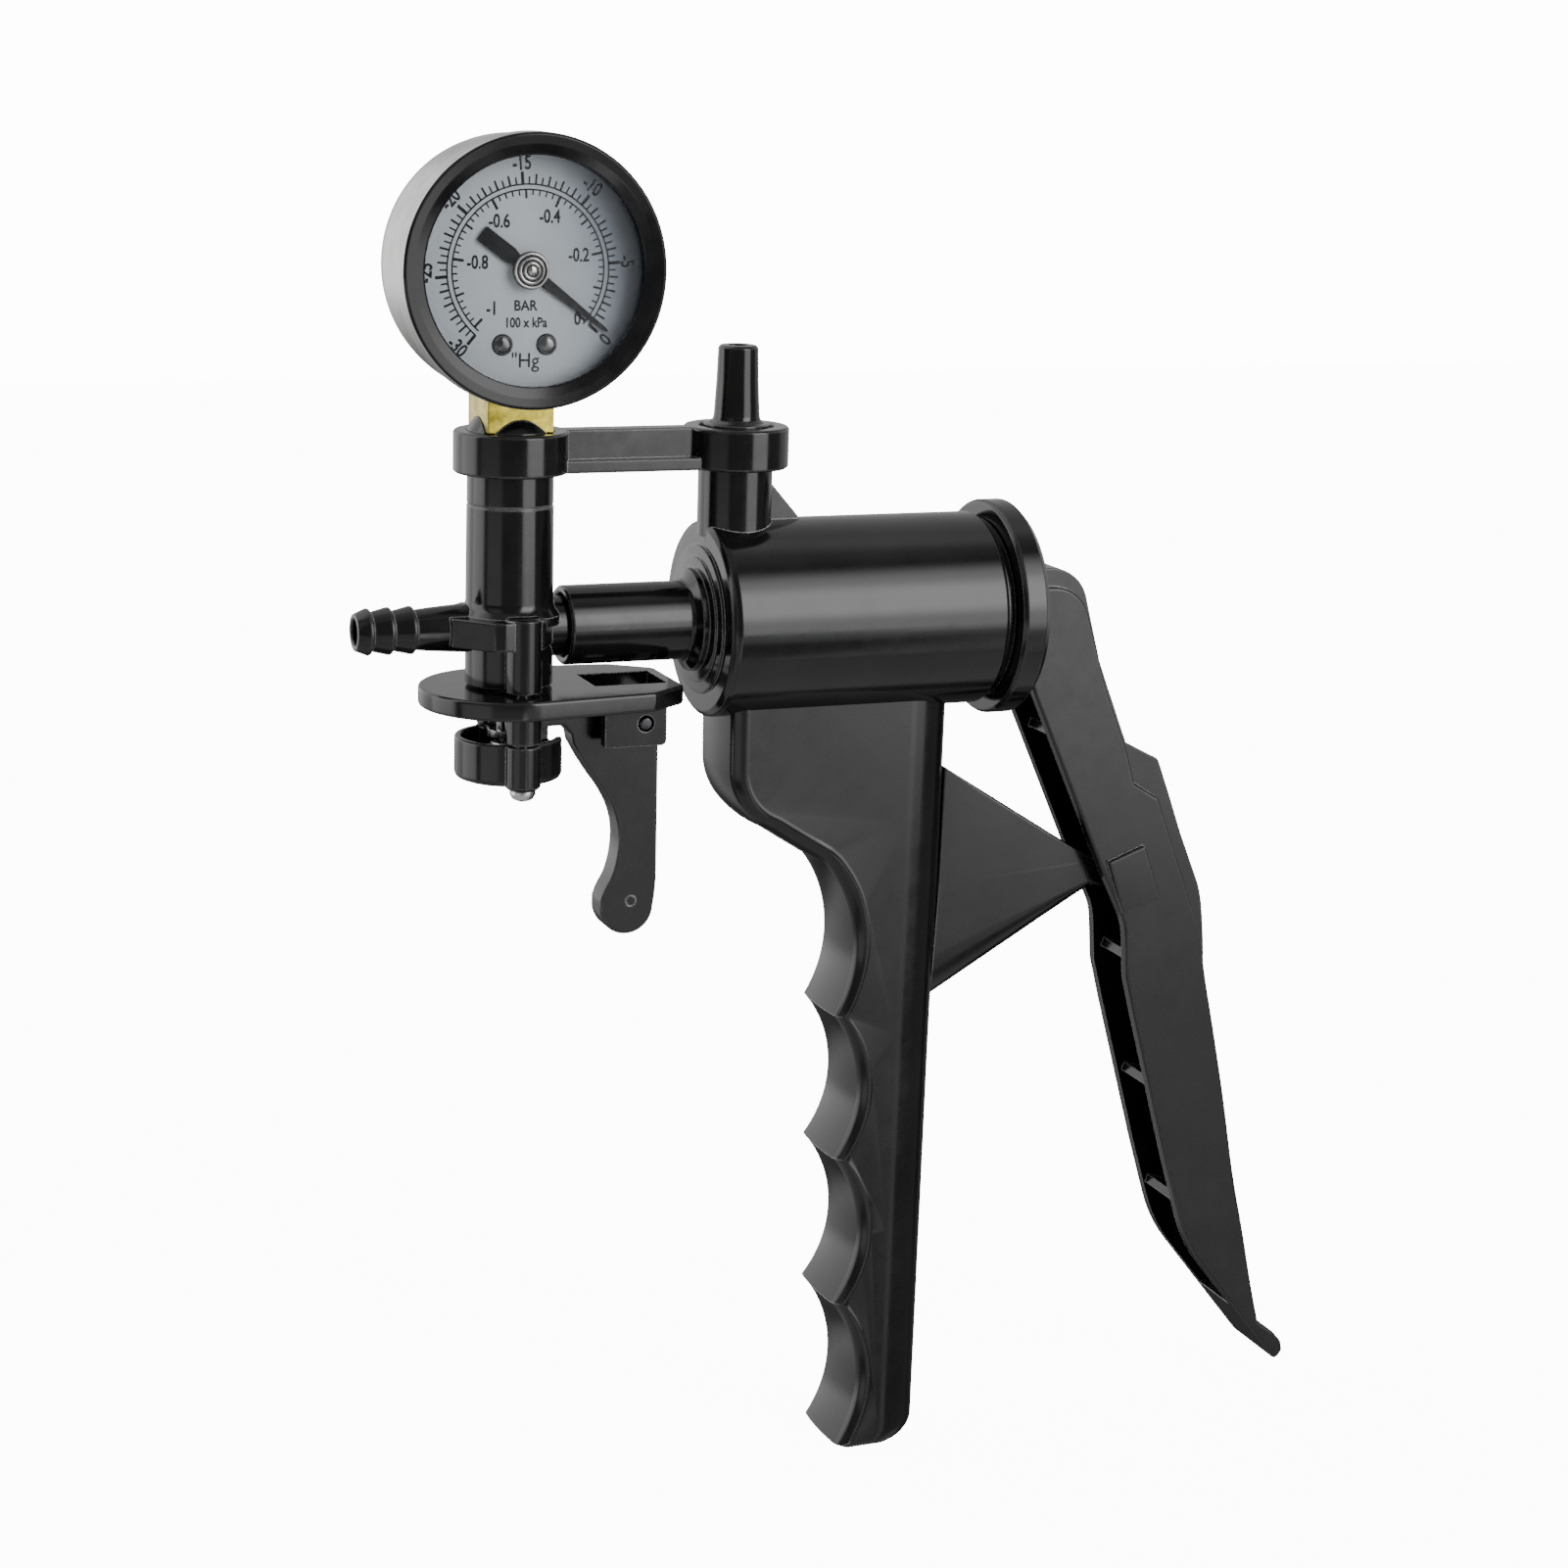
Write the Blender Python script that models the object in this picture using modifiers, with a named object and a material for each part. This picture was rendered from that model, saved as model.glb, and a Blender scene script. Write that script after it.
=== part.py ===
"""Hand vacuum pump: pistol body with a piston inside the barrel, a squeeze lever, a T-shaped
inlet body with a round dial gauge on top, and a relief valve worked by a small trigger.

Layout numbers are millimetres in the side view: X runs from the hose end to the lever, Z up,
with X = 0 on the axis of the T-body and Z = 0 on the axis of the barrel. HOLD is the point of
that side view which becomes the origin: the middle of the hand hold on the grip.
"""

import math

import bmesh
import bpy
from mathutils import Matrix, Vector

# ---------------------------------------------------------------- driving dimensions (mm)
MM = 0.001
HOLD = Vector((66.0, 0.0, -85.0))
GAP = 0.3

TUBE_R = 6.9            # vertical tube of the T-body
TUBE_TOP = 31.4
TUBE_BOTTOM = -9.0
BARB_END_X = -25.4
BARB_BORE_R = 2.1
SPIGOT_R = 4.85         # stub of the T-body that plugs into the barrel's neck
SPIGOT_END_X = 19.5
FLANGE_LOW, FLANGE_HIGH = -2.0, 2.6
POST_R, POST_Y = 2.9, 8.0

PLATE_TOP, PLATE_LOW = -9.3, -12.4
PLATE_R = 14.5
CUP_R, CUP_WALL, CUP_TOP, CUP_LOW = 8.67, 1.1, -17.5, -24.4

NECK_R, NECK_START, NECK_BORE_R = 6.43, 8.6, 5.15
BARREL_R, BARREL_FRONT, BARREL_REAR = 16.17, 32.4, 81.2
CHAMBER_R, CHAMBER_FRONT = 13.2, 35.6
CAP_R, CAP_FRONT, CAP_REAR = 18.1, 82.9, 88.1
PORT_X, PORT_R, PORT_TOP = 38.1, 6.06, 31.2
NIPPLE_TOP, NIPPLE_TIP_R, NIPPLE_ROOT_R = 44.6, 3.3, 3.75

STRAP_LOW, STRAP_TOP = 25.0, 31.7
EYE_L_R, EYE_R_R = 9.1, 8.6

GRIP_HALF = 8.27
GRIP_BOTTOM = -148.2

PIVOT = (111.5, -48.2)  # lever pivot
LEVER_HALF, LEVER_WALL, LEVER_WEB = 7.35, 2.0, 2.3
ROD_PIN_X = 93.6
ROD_R = 2.8
TRIGGER_PIN = (21.0, -15.4)

GAUGE_Z, GAUGE_R, WINDOW_R = 57.3, 21.0, 17.5
CASE_R, CASE_BACK = 20.3, 9.5
BEZEL_FRONT, BEZEL_BACK = -13.2, -7.9
DIAL_Y = -8.5
NEEDLE_REST = -36.5     # degrees from +X, seen from the front
SECTOR_PIVOT_Z = 48.8

SEG = 32                # sides of the large round pieces

# ---------------------------------------------------------------- scene and helpers
for old in list(bpy.data.objects):
    bpy.data.objects.remove(old, do_unlink=True)

parts = bpy.data.collections.new("hand_vacuum_pump")
cutters = bpy.data.collections.new("cutters")
bpy.context.scene.collection.children.link(parts)
bpy.context.scene.collection.children.link(cutters)

AXES = {"Z": (0.0, 0.0, 0.0), "X": (0.0, math.pi / 2, 0.0), "-Y": (math.pi / 2, 0.0, 0.0)}
finishes = {}


def finish(name, color, roughness, metallic=0.0):
    material = bpy.data.materials.new(name)
    material.use_nodes = True
    shader = material.node_tree.nodes["Principled BSDF"]
    shader.inputs["Base Color"].default_value = (*color, 1.0)
    shader.inputs["Roughness"].default_value = roughness
    shader.inputs["Metallic"].default_value = metallic
    finishes[name] = material


def place(x, y, z):
    return (Vector((x, y, z)) - HOLD) * MM


def add(name, mesh, helper=False):
    thing = bpy.data.objects.new(name, mesh)
    (cutters if helper else parts).objects.link(thing)
    if helper:
        thing.hide_render = True
        thing.display_type = "WIRE"
    return thing


def paint(thing, name):
    thing.data.materials.clear()
    thing.data.materials.append(finishes[name])
    return thing


def turned(name, profile, at, axis="Z", sides=SEG, helper=False, closed=False):
    """A profile of (radius, height) spun about an axis. Closed profiles are rings."""
    area = 0.0
    for (r0, h0), (r1, h1) in zip(profile, profile[1:] + profile[:1]):
        area += r0 * h1 - r1 * h0
    if area > 0:
        profile = profile[::-1]
    mesh = bpy.data.meshes.new(name)
    count = len(profile)
    edges = [(i, i + 1) for i in range(count - 1)]
    if closed:
        edges.append((count - 1, 0))
    mesh.from_pydata([(r * MM, 0.0, h * MM) for r, h in profile], edges, [])
    thing = add(name, mesh, helper)
    spin = thing.modifiers.new("spin", "SCREW")
    spin.axis = "Z"
    spin.angle = 2 * math.pi
    spin.steps = spin.render_steps = sides
    spin.use_merge_vertices = True
    spin.merge_threshold = 0.00001
    thing.rotation_euler = AXES[axis]
    thing.location = place(*at)
    return thing


def rod(name, r, low, high, at, axis="Z", sides=20, helper=False):
    return turned(name, [(0, high), (r, high), (r, low), (0, low)], at, axis, sides, helper)


def ring(name, r_out, r_in, low, high, at, axis="Z", sides=SEG, helper=False):
    return turned(
        name,
        [(r_out, high), (r_out, low), (r_in, low), (r_in, high)],
        at, axis, sides, helper, closed=True,
    )


def sheet(name, loops, half, at=(0, 0, 0), plane="XZ", helper=False):
    """Flat outlines, extruded by half on each side of the plane."""
    curve = bpy.data.curves.new(name, "CURVE")
    curve.dimensions = "2D"
    curve.fill_mode = "BOTH"
    curve.extrude = half * MM
    for loop in loops:
        spline = curve.splines.new("POLY")
        spline.points.add(len(loop) - 1)
        for point, (u, v) in zip(spline.points, loop):
            point.co = (u * MM, v * MM, 0.0, 1.0)
        spline.use_cyclic_u = True
    flat = bpy.data.objects.new(name, curve)
    parts.objects.link(flat)
    flat.rotation_euler = (math.pi / 2, 0, 0) if plane == "XZ" else (0, 0, 0)
    flat.location = place(*at)
    return solid_from(flat, name, helper, dissolve=True)


def solid_from(curve_object, name, helper=False, dissolve=False):
    """The curve object's shape as a closed mesh, in the same place."""
    bpy.context.view_layer.update()
    graph = bpy.context.evaluated_depsgraph_get()
    mesh = bpy.data.meshes.new_from_object(curve_object.evaluated_get(graph))
    work = bmesh.new()
    work.from_mesh(mesh)
    bmesh.ops.remove_doubles(work, verts=work.verts, dist=0.000002)
    if dissolve:
        bmesh.ops.dissolve_limit(
            work, angle_limit=math.radians(0.2), verts=work.verts, edges=work.edges
        )
    bmesh.ops.recalc_face_normals(work, faces=work.faces)
    work.to_mesh(mesh)
    work.free()
    data = curve_object.data
    place_now = curve_object.matrix_world.copy()
    bpy.data.objects.remove(curve_object, do_unlink=True)
    bpy.data.curves.remove(data)
    mesh.name = name
    thing = add(name, mesh, helper)
    thing.matrix_world = place_now
    return thing


def wire(name, points, radius, at=(0, 0, 0), cyclic=False, resolution=2, helper=False):
    curve = bpy.data.curves.new(name, "CURVE")
    curve.dimensions = "3D"
    curve.bevel_depth = radius * MM
    curve.bevel_resolution = resolution
    curve.use_fill_caps = True
    spline = curve.splines.new("POLY")
    spline.points.add(len(points) - 1)
    for point, co in zip(spline.points, points):
        point.co = (co[0] * MM, co[1] * MM, co[2] * MM, 1.0)
    spline.use_cyclic_u = cyclic
    thing = bpy.data.objects.new(name, curve)
    parts.objects.link(thing)
    thing.location = place(*at)
    return solid_from(thing, name, helper)


def box(name, low, high, helper=True, turn=0.0, about=None):
    """A block between two corners, turned about Y through a point of the side view."""
    work = bmesh.new()
    bmesh.ops.create_cube(work, size=1.0)
    size = [b - a for a, b in zip(low, high)]
    middle = [(a + b) / 2 for a, b in zip(low, high)]
    centre = Vector(about) if about else Vector(middle)
    for vert in work.verts:
        vert.co = Vector((vert.co.x * size[0], vert.co.y * size[1], vert.co.z * size[2]))
        vert.co = (vert.co + Vector(middle) - centre) * MM
    mesh = bpy.data.meshes.new(name)
    work.to_mesh(mesh)
    work.free()
    thing = add(name, mesh, helper)
    thing.rotation_euler = (0, turn, 0)
    thing.location = place(*centre)
    return thing


def boolean(target, other, how):
    step = target.modifiers.new(how.lower(), "BOOLEAN")
    step.operation = how
    step.solver = "EXACT"
    step.object = other


def cut(target, *others):
    for other in others:
        boolean(target, other, "DIFFERENCE")
    return target


def join(target, *others):
    for other in others:
        boolean(target, other, "UNION")
    return target


def arc(cx, cz, r, start, end, steps):
    return [
        (
            cx + r * math.cos(math.radians(start + (end - start) * i / steps)),
            cz + r * math.sin(math.radians(start + (end - start) * i / steps)),
        )
        for i in range(steps + 1)
    ]


def bulge(a, b, depth, steps):
    """Points from a to b on an arc that stands off the chord by depth, to its left."""
    a, b = Vector(a), Vector(b)
    chord = b - a
    half = chord.length / 2
    r = (half * half + depth * depth) / (2 * abs(depth))
    side = Vector((-chord.y, chord.x)).normalized() * (1 if depth > 0 else -1)
    centre = (a + b) / 2 - side * (r - abs(depth))
    sweep = math.asin(min(1.0, half / r))
    points = []
    for i in range(steps + 1):
        t = -sweep + 2 * sweep * i / steps
        points.append(tuple(centre + side * r * math.cos(t) + chord.normalized() * r * math.sin(t)))
    return points


def rounded(corners, steps=4):
    """A polygon of (u, v, radius) corners with each corner rounded."""
    points = []
    count = len(corners)
    for i, (u, v, r) in enumerate(corners):
        here = Vector((u, v))
        if r <= 0:
            points.append((u, v))
            continue
        back = (Vector(corners[i - 1][:2]) - here).normalized()
        ahead = (Vector(corners[(i + 1) % count][:2]) - here).normalized()
        half = back.angle(ahead) / 2
        reach = r / math.tan(half)
        centre = here + (back + ahead).normalized() * (r / math.sin(half))
        start = here + back * reach - centre
        end = here + ahead * reach - centre
        turn = start.angle_signed(end)
        for k in range(steps + 1):
            c, s = math.cos(-turn * k / steps), math.sin(-turn * k / steps)
            points.append((centre.x + c * start.x - s * start.y, centre.y + s * start.x + c * start.y))
    return points


def offset(points, distance):
    """An open line moved to its left by a distance that may change along it."""
    moved = []
    for i, point in enumerate(points):
        before = Vector(points[max(i - 1, 0)])
        after = Vector(points[min(i + 1, len(points) - 1)])
        along = (after - before).normalized()
        d = distance[i] if isinstance(distance, list) else distance
        moved.append((point[0] - along.y * d, point[1] + along.x * d))
    return moved


def coil(radius, length, turns, per_turn=14):
    """Points of a helix along +X, starting at zero."""
    count = int(turns * per_turn)
    return [
        (
            length * i / count,
            radius * math.cos(2 * math.pi * i / per_turn),
            radius * math.sin(2 * math.pi * i / per_turn),
        )
        for i in range(count + 1)
    ]


def pivot_at(thing, x, y, z):
    """Moves the origin to a point of the side view and leaves the shape where it is."""
    bpy.context.view_layer.update()
    local = thing.matrix_world.inverted() @ place(x, y, z)
    thing.data.transform(Matrix.Translation(-local))
    thing.location = place(x, y, z)
    return thing


def soften(thing, width, segments=2, angle=40):
    edge = thing.modifiers.new("soften", "BEVEL")
    edge.width = width * MM
    edge.segments = segments
    edge.limit_method = "ANGLE"
    edge.angle_limit = math.radians(angle)
    return thing


finish("black_plastic", (0.018, 0.018, 0.02), 0.32)
finish("black_paint", (0.012, 0.012, 0.013), 0.2)
finish("brass", (0.72, 0.53, 0.22), 0.3, 1.0)
finish("steel", (0.6, 0.6, 0.6), 0.3, 1.0)
finish("rubber", (0.02, 0.02, 0.02), 0.6)
finish("lens", (0.9, 0.93, 0.95), 0.05)
finish("dial", (0.52, 0.6, 0.65), 0.5)

# ---------------------------------------------------------------- T-body with hose barb
tee = turned(
    "t_body",
    [(0, TUBE_TOP), (TUBE_R - 0.4, TUBE_TOP), (TUBE_R, TUBE_TOP - 0.4), (TUBE_R, TUBE_BOTTOM), (0, TUBE_BOTTOM)],
    (0, 0, 0), "Z", 28,
)
crests = [(-23.4, 3.75), (-20.0, 3.8), (-16.4, 3.85)]
barb = [(0, BARB_END_X), (3.1, BARB_END_X)]
for crest_x, crest_r in crests:
    barb += [(crest_r - 0.35, crest_x - 0.25), (crest_r, crest_x), (crest_r, crest_x + 0.25), (3.15, crest_x + 0.5)]
barb += [(3.35, -13.0), (3.8, -9.0), (3.8, -3.0), (0, -3.0)]
spigot = [(0, -3.0), (SPIGOT_R, -3.0), (SPIGOT_R, SPIGOT_END_X - 3.6), (3.9, SPIGOT_END_X - 3.6), (3.9, SPIGOT_END_X - 1.8), (SPIGOT_R, SPIGOT_END_X - 1.8), (SPIGOT_R, SPIGOT_END_X), (0, SPIGOT_END_X)]
flange = sheet(
    "tee_flange",
    [rounded([(-10.7, -4.3, 0.6), (-5.3, -9.9, 0.6), (-3.6, -10.2, 0.6), (3.0, -POST_Y - 1.6, 1.5), (8.4, 0, 2.0), (3.0, POST_Y + 1.6, 1.5), (-3.6, 10.2, 0.6), (-5.3, 9.9, 0.6), (-10.7, 4.3, 0.6)], 3)],
    (FLANGE_HIGH - FLANGE_LOW) / 2, (0, 0, (FLANGE_HIGH + FLANGE_LOW) / 2), "XY", helper=True,
)
join(
    tee,
    turned("tee_barb", barb, (0, 0, 0), "X", 16, helper=True),
    turned("tee_spigot", spigot, (0, 0, 0), "X", 20, helper=True),
    flange,
    rod("tee_post_front", POST_R, TUBE_BOTTOM, FLANGE_HIGH + 0.5, (0, -POST_Y, 0), sides=14, helper=True),
    rod("tee_post_rear", POST_R, TUBE_BOTTOM, FLANGE_HIGH + 0.5, (0, POST_Y, 0), sides=14, helper=True),
)
cut(
    tee,
    turned(
        "tee_bore",
        [(0, 40), (5.2, 40), (5.2, 20), (2.2, 20), (2.2, -4.6), (4.6, -4.6), (4.6, -12), (0, -12)],
        (0, 0, 0), "Z", 18, helper=True,
    ),
    rod("tee_side_bore", BARB_BORE_R, -30, 24, (0, 0, 0), "X", 12, helper=True),
    rod("tee_screw_front", 1.5, -14, -1.5, (0, -POST_Y, 0), sides=12, helper=True),
    rod("tee_screw_rear", 1.5, -14, -1.5, (0, POST_Y, 0), sides=12, helper=True),
)
paint(tee, "black_plastic")

# ---------------------------------------------------------------- hinge plate under the T-body
outline = (
    arc(0, 0, PLATE_R, 84, 276, 18)
    + rounded([(21.0, -12.2, 2.0), (27.4, -7.4, 2.0), (27.4, 7.4, 2.0), (21.0, 12.2, 2.0)], 2)
)
plate = sheet("hinge_plate", [outline], (PLATE_TOP - PLATE_LOW) / 2, (0, 0, (PLATE_TOP + PLATE_LOW) / 2), "XY")
lug = [(14.0, -11.0), (24.6, -11.0), (24.6, -19.2), (14.0, -19.2)]
join(
    plate,
    rod("plate_post_front", POST_R, CUP_TOP + GAP, -11.0, (0, -POST_Y, 0), sides=14, helper=True),
    rod("plate_post_rear", POST_R, CUP_TOP + GAP, -11.0, (0, POST_Y, 0), sides=14, helper=True),
    sheet("lug_front", [lug], 1.1, (0, -6.1, 0), helper=True),
    sheet("lug_rear", [lug], 1.1, (0, 6.1, 0), helper=True),
)
cut(
    plate,
    box("plate_window", (13.0, -4.9, -20), (25.4, 4.9, -6)),
    rod("plate_bore", 4.9, -16, -6, (0, 0, 0), sides=24, helper=True),
    rod("plate_screw_front", 1.6, -25, -6, (0, -POST_Y, 0), sides=12, helper=True),
    rod("plate_screw_rear", 1.6, -25, -6, (0, POST_Y, 0), sides=12, helper=True),
    rod("plate_pin_hole", 1.4, -12, 12, (TRIGGER_PIN[0], 0, TRIGGER_PIN[1]), "-Y", 16, helper=True),
)
paint(plate, "black_plastic")

# ---------------------------------------------------------------- relief valve cup and its screws
cup = turned(
    "valve_cup",
    [(0, CUP_LOW), (CUP_R - 0.6, CUP_LOW), (CUP_R, CUP_LOW + 0.6), (CUP_R, CUP_TOP), (CUP_R - CUP_WALL, CUP_TOP),
     (CUP_R - CUP_WALL, CUP_LOW + 1.4), (0, CUP_LOW + 1.4)],
    (0, 0, 0), "Z", 28,
)
join(
    cup,
    rod("cup_ear_front", POST_R, CUP_LOW - 0.2, CUP_TOP - 0.06, (0, -POST_Y, 0), sides=16, helper=True),
    rod("cup_ear_rear", POST_R, CUP_LOW - 0.2, CUP_TOP - 0.06, (0, POST_Y, 0), sides=16, helper=True),
)
cut(
    cup,
    rod("cup_screw_hole_front", 1.6, -27, -16, (0, -POST_Y, 0), sides=12, helper=True),
    rod("cup_screw_hole_rear", 1.6, -27, -16, (0, POST_Y, 0), sides=12, helper=True),
    box("cup_notch", (6.0, -3.6, -19.6), (12.0, 3.6, -15.0)),
)
paint(cup, "black_plastic")

for side, y in (("front", -POST_Y), ("rear", POST_Y)):
    screw = turned(
        "cup_screw_" + side,
        [(0, -2.4), (1.2, -2.4), (1.2, -24.9), (2.1, -24.9), (2.1, -25.7), (1.5, -26.4), (0.6, -26.7), (0, -26.7)],
        (0, y, 0), "Z", 16,
    )
    cut(screw, box("cross_a_" + side, (-1.1, y - 0.22, -27.5), (1.1, y + 0.22, -26.0)),
        box("cross_b_" + side, (-0.22, y - 1.1, -27.5), (0.22, y + 1.1, -26.0)))
    paint(screw, "steel")

# ---------------------------------------------------------------- relief valve inside the cup
paint(turned(
    "relief_plunger",
    [(0, -6.6), (3.9, -6.6), (3.9, -8.6), (1.9, -8.6), (1.9, -16.4), (3.4, -16.4), (3.4, -17.6), (1.4, -17.6), (1.4, -20.0), (0, -20.0)],
    (0, 0, 0), "Z", 20,
), "steel")
paint(ring("relief_seal", 4.1, 2.5, -6.3, -4.9, (0, 0, 0), "Z", 20), "rubber")
spring = wire("relief_spring", [(y, z, x) for x, y, z in coil(2.6, 4.1, 3.0, 10)], 0.35, (0, 0, CUP_LOW + 2.1), resolution=1)
paint(spring, "steel")

# ---------------------------------------------------------------- bridge strap
def eye(name, x, r):
    return rod(name, r, STRAP_LOW, STRAP_TOP, (x, 0, 0), "Z", 28)


strap = eye("bridge_strap", 0, EYE_L_R)
right_eye = rod("strap_right_eye", EYE_R_R, STRAP_LOW, STRAP_TOP, (PORT_X, 0, 0), "Z", 28, helper=True)
join(
    strap,
    right_eye,
    box("strap_web", (6, -1.9, STRAP_LOW + 0.02), (33, 1.9, STRAP_TOP - 0.02)),
    box("strap_lip", (6, -4.2, STRAP_LOW + 0.02), (33, 4.2, STRAP_LOW + 2.0)),
)
cut(
    strap,
    rod("strap_left_bore", TUBE_R + GAP, 20, 40, (0, 0, 0), "Z", 28, helper=True),
    rod("strap_right_bore", PORT_R + GAP, 20, 40, (PORT_X, 0, 0), "Z", 24, helper=True),
)
paint(strap, "black_plastic")

# ---------------------------------------------------------------- barrel with neck and port
barrel = turned(
    "barrel",
    [
        (NECK_BORE_R, NECK_START), (NECK_R - 0.5, NECK_START), (NECK_R, NECK_START + 0.5), (NECK_R, 29.8), (8.4, 30.2),
        (8.4, 31.3), (10.3, 31.4), (10.3, 31.8), (12.2, 31.9), (12.2, BARREL_FRONT), (BARREL_R - 1.2, BARREL_FRONT),
        (BARREL_R - 0.3, BARREL_FRONT + 0.4), (BARREL_R, BARREL_FRONT + 1.2), (BARREL_R, BARREL_REAR),
        (15.1, BARREL_REAR), (15.1, CAP_FRONT - GAP), (CHAMBER_R, CAP_FRONT - GAP), (CHAMBER_R, CHAMBER_FRONT),
        (3.2, CHAMBER_FRONT), (3.2, 31.5), (1.8, 31.5), (1.8, 23.0), (NECK_BORE_R, 23.0),
    ],
    (0, 0, 0), "X", SEG, closed=True,
)
join(
    barrel,
    rod("port_tube", PORT_R, 13.8, PORT_TOP, (PORT_X, 0, 0), "Z", 24, helper=True),
    sheet("port_gusset", [[(PORT_X + 5, 14.5), (50.2, 14.5), (PORT_X + 5, 23.4)]], 0.8, helper=True),
)
cut(
    barrel,
    turned("port_bore", [(0, 40), (4.3, 40), (4.3, 19.5), (1.6, 19.5), (1.6, 10), (0, 10)], (PORT_X, 0, 0), "Z", 20, helper=True),
)
paint(barrel, "black_plastic")

# ---------------------------------------------------------------- exhaust spigot in the port
paint(turned(
    "exhaust_spigot",
    [(1.7, NIPPLE_TOP), (NIPPLE_TIP_R - 0.3, NIPPLE_TOP), (NIPPLE_TIP_R, NIPPLE_TOP - 0.3), (NIPPLE_ROOT_R, 32.2), (5.4, 32.0),
     (5.4, PORT_TOP + GAP), (4.0, PORT_TOP + GAP), (4.0, 23.2), (1.7, 23.2)],
    (PORT_X, 0, 0), "Z", 24, closed=True,
), "black_plastic")
paint(rod("exhaust_valve_disc", 3.6, 20.0, 21.4, (PORT_X, 0, 0), "Z", 20), "rubber")
paint(rod("inlet_valve_disc", 2.7, 31.9, 33.1, (0, 0, 0), "X", 20), "rubber")
paint(ring("spigot_oring", NECK_BORE_R - 0.12, 4.2, SPIGOT_END_X - 3.3, SPIGOT_END_X - 2.1, (0, 0, 0), "X", 24), "rubber")

# ---------------------------------------------------------------- grip with four finger grooves
cusps = [(55.5, -68.2), (56.2, -93.9), (56.8, -120.5), (58.4, -147.4)]
depths = [4.6, 4.9, 4.6]
front = [(35.4, -16.6), (35.5, -24.6)] + bulge((35.5, -24.6), (43.0, -35.2), -1.9, 4)[1:]
front += [(51.0, -40.3)] + bulge((53.4, -42.0), cusps[0], 4.3, 8)
for (start, end), depth in zip(zip(cusps, cusps[1:]), depths):
    front += bulge(start, end, depth, 9)[1:]
back = [(61.0, GRIP_BOTTOM)] + arc(71.1, GRIP_BOTTOM + 3.8, 3.8, -90, 0, 4) + [(75.4, -72.0), (76.0, -16.6)]
grip = sheet("grip", [front + back], GRIP_HALF)
work = bmesh.new()
work.from_mesh(grip.data)
weights = work.edges.layers.float.new("bevel_weight_edge")
top_y = (-16.7 - HOLD.z) * MM
for edge in work.edges:
    a, b = (vert.co for vert in edge.verts)
    if abs(a.z - b.z) < 1e-6 and abs(abs(a.z) - GRIP_HALF * MM) < 1e-5:
        if (a - b).length > 0.035 and a.x > 0.06 and abs(a.y - b.y) < 0.001:
            continue
        behind = (a.x + b.x) / 2 > 0.0702
        on_top = a.y > -0.0167 and b.y > -0.0167
        if not on_top:
            edge[weights] = 1.0 if behind else 0.34
work.to_mesh(grip.data)
work.free()
edge = grip.modifiers.new("soft edges", "BEVEL")
edge.width = 6.0 * MM
edge.segments = 2
edge.limit_method = "WEIGHT"
cut(grip, rod("grip_saddle", BARREL_R + GAP, 20, 95, (0, 0, 0), "X", SEG, helper=True))
paint(grip, "black_plastic")

# ---------------------------------------------------------------- triangular pivot bracket
bracket = sheet(
    "pivot_bracket",
    [rounded([(76.6, -27.0, 0), (76.0, -68.3, 0), (106.3, -50.6, 0), (PIVOT[0] + 1.0, -51.6, 1.0), (PIVOT[0] + 3.2, PIVOT[1] - 1.0, 2.0),
              (PIVOT[0] + 3.0, PIVOT[1] + 2.0, 2.0), (PIVOT[0] - 1.0, -45.0, 1.0), (105.6, -45.2, 0)], 3)],
    2.5,
)
cut(bracket, rod("bracket_hole", 2.3, -8, 8, (PIVOT[0], 0, PIVOT[1]), "-Y", 20, helper=True))
paint(bracket, "black_plastic")
paint(rod("pivot_pin", 2.0, -6.9, 6.9, (PIVOT[0], 0, PIVOT[1]), "-Y", 20), "steel")

# ---------------------------------------------------------------- rear cap, bush, rod, piston
cap = turned(
    "rear_cap",
    [
        (5.6, CAP_REAR), (CAP_R - 1.0, CAP_REAR), (CAP_R, CAP_REAR - 1.0), (CAP_R, CAP_FRONT), (12.8, CAP_FRONT), (12.8, 78.0),
        (11.0, 78.0), (11.0, 84.6), (5.6, 84.6),
    ],
    (0, 0, 0), "X", SEG, closed=True,
)
paint(cap, "black_plastic")
paint(turned(
    "rod_bush",
    [(3.4, 82.8), (7.4, 82.8), (7.4, 84.3), (5.2, 84.3), (5.2, 88.7), (3.4, 88.7)],
    (0, 0, 0), "X", 24, closed=True,
), "black_plastic")

piston_rod = turned(
    "piston_rod", [(0, 38.4), (1.9, 38.4), (1.9, 46.4), (ROD_R, 46.4), (ROD_R, 91.0), (0, 91.0)], (0, 0, 0), "X", 20,
)
blade = arc(ROD_PIN_X, 0, 2.5, -90, 90, 8) + [(88.9, 2.5), (88.9, -2.5)]
join(piston_rod, sheet("rod_blade", [blade], 3.6, helper=True))
cut(
    piston_rod,
    rod("rod_hole", 1.9, -8, 8, (ROD_PIN_X, 0, 0), "-Y", 16, helper=True),
    rod("rod_thread", 1.3, 30, 45, (0, 0, 0), "X", 12, helper=True),
)
paint(piston_rod, "steel")
paint(rod("rod_pin", 1.6, -6.3, 6.3, (ROD_PIN_X, 0, 0), "-Y", 16), "steel")

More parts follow.
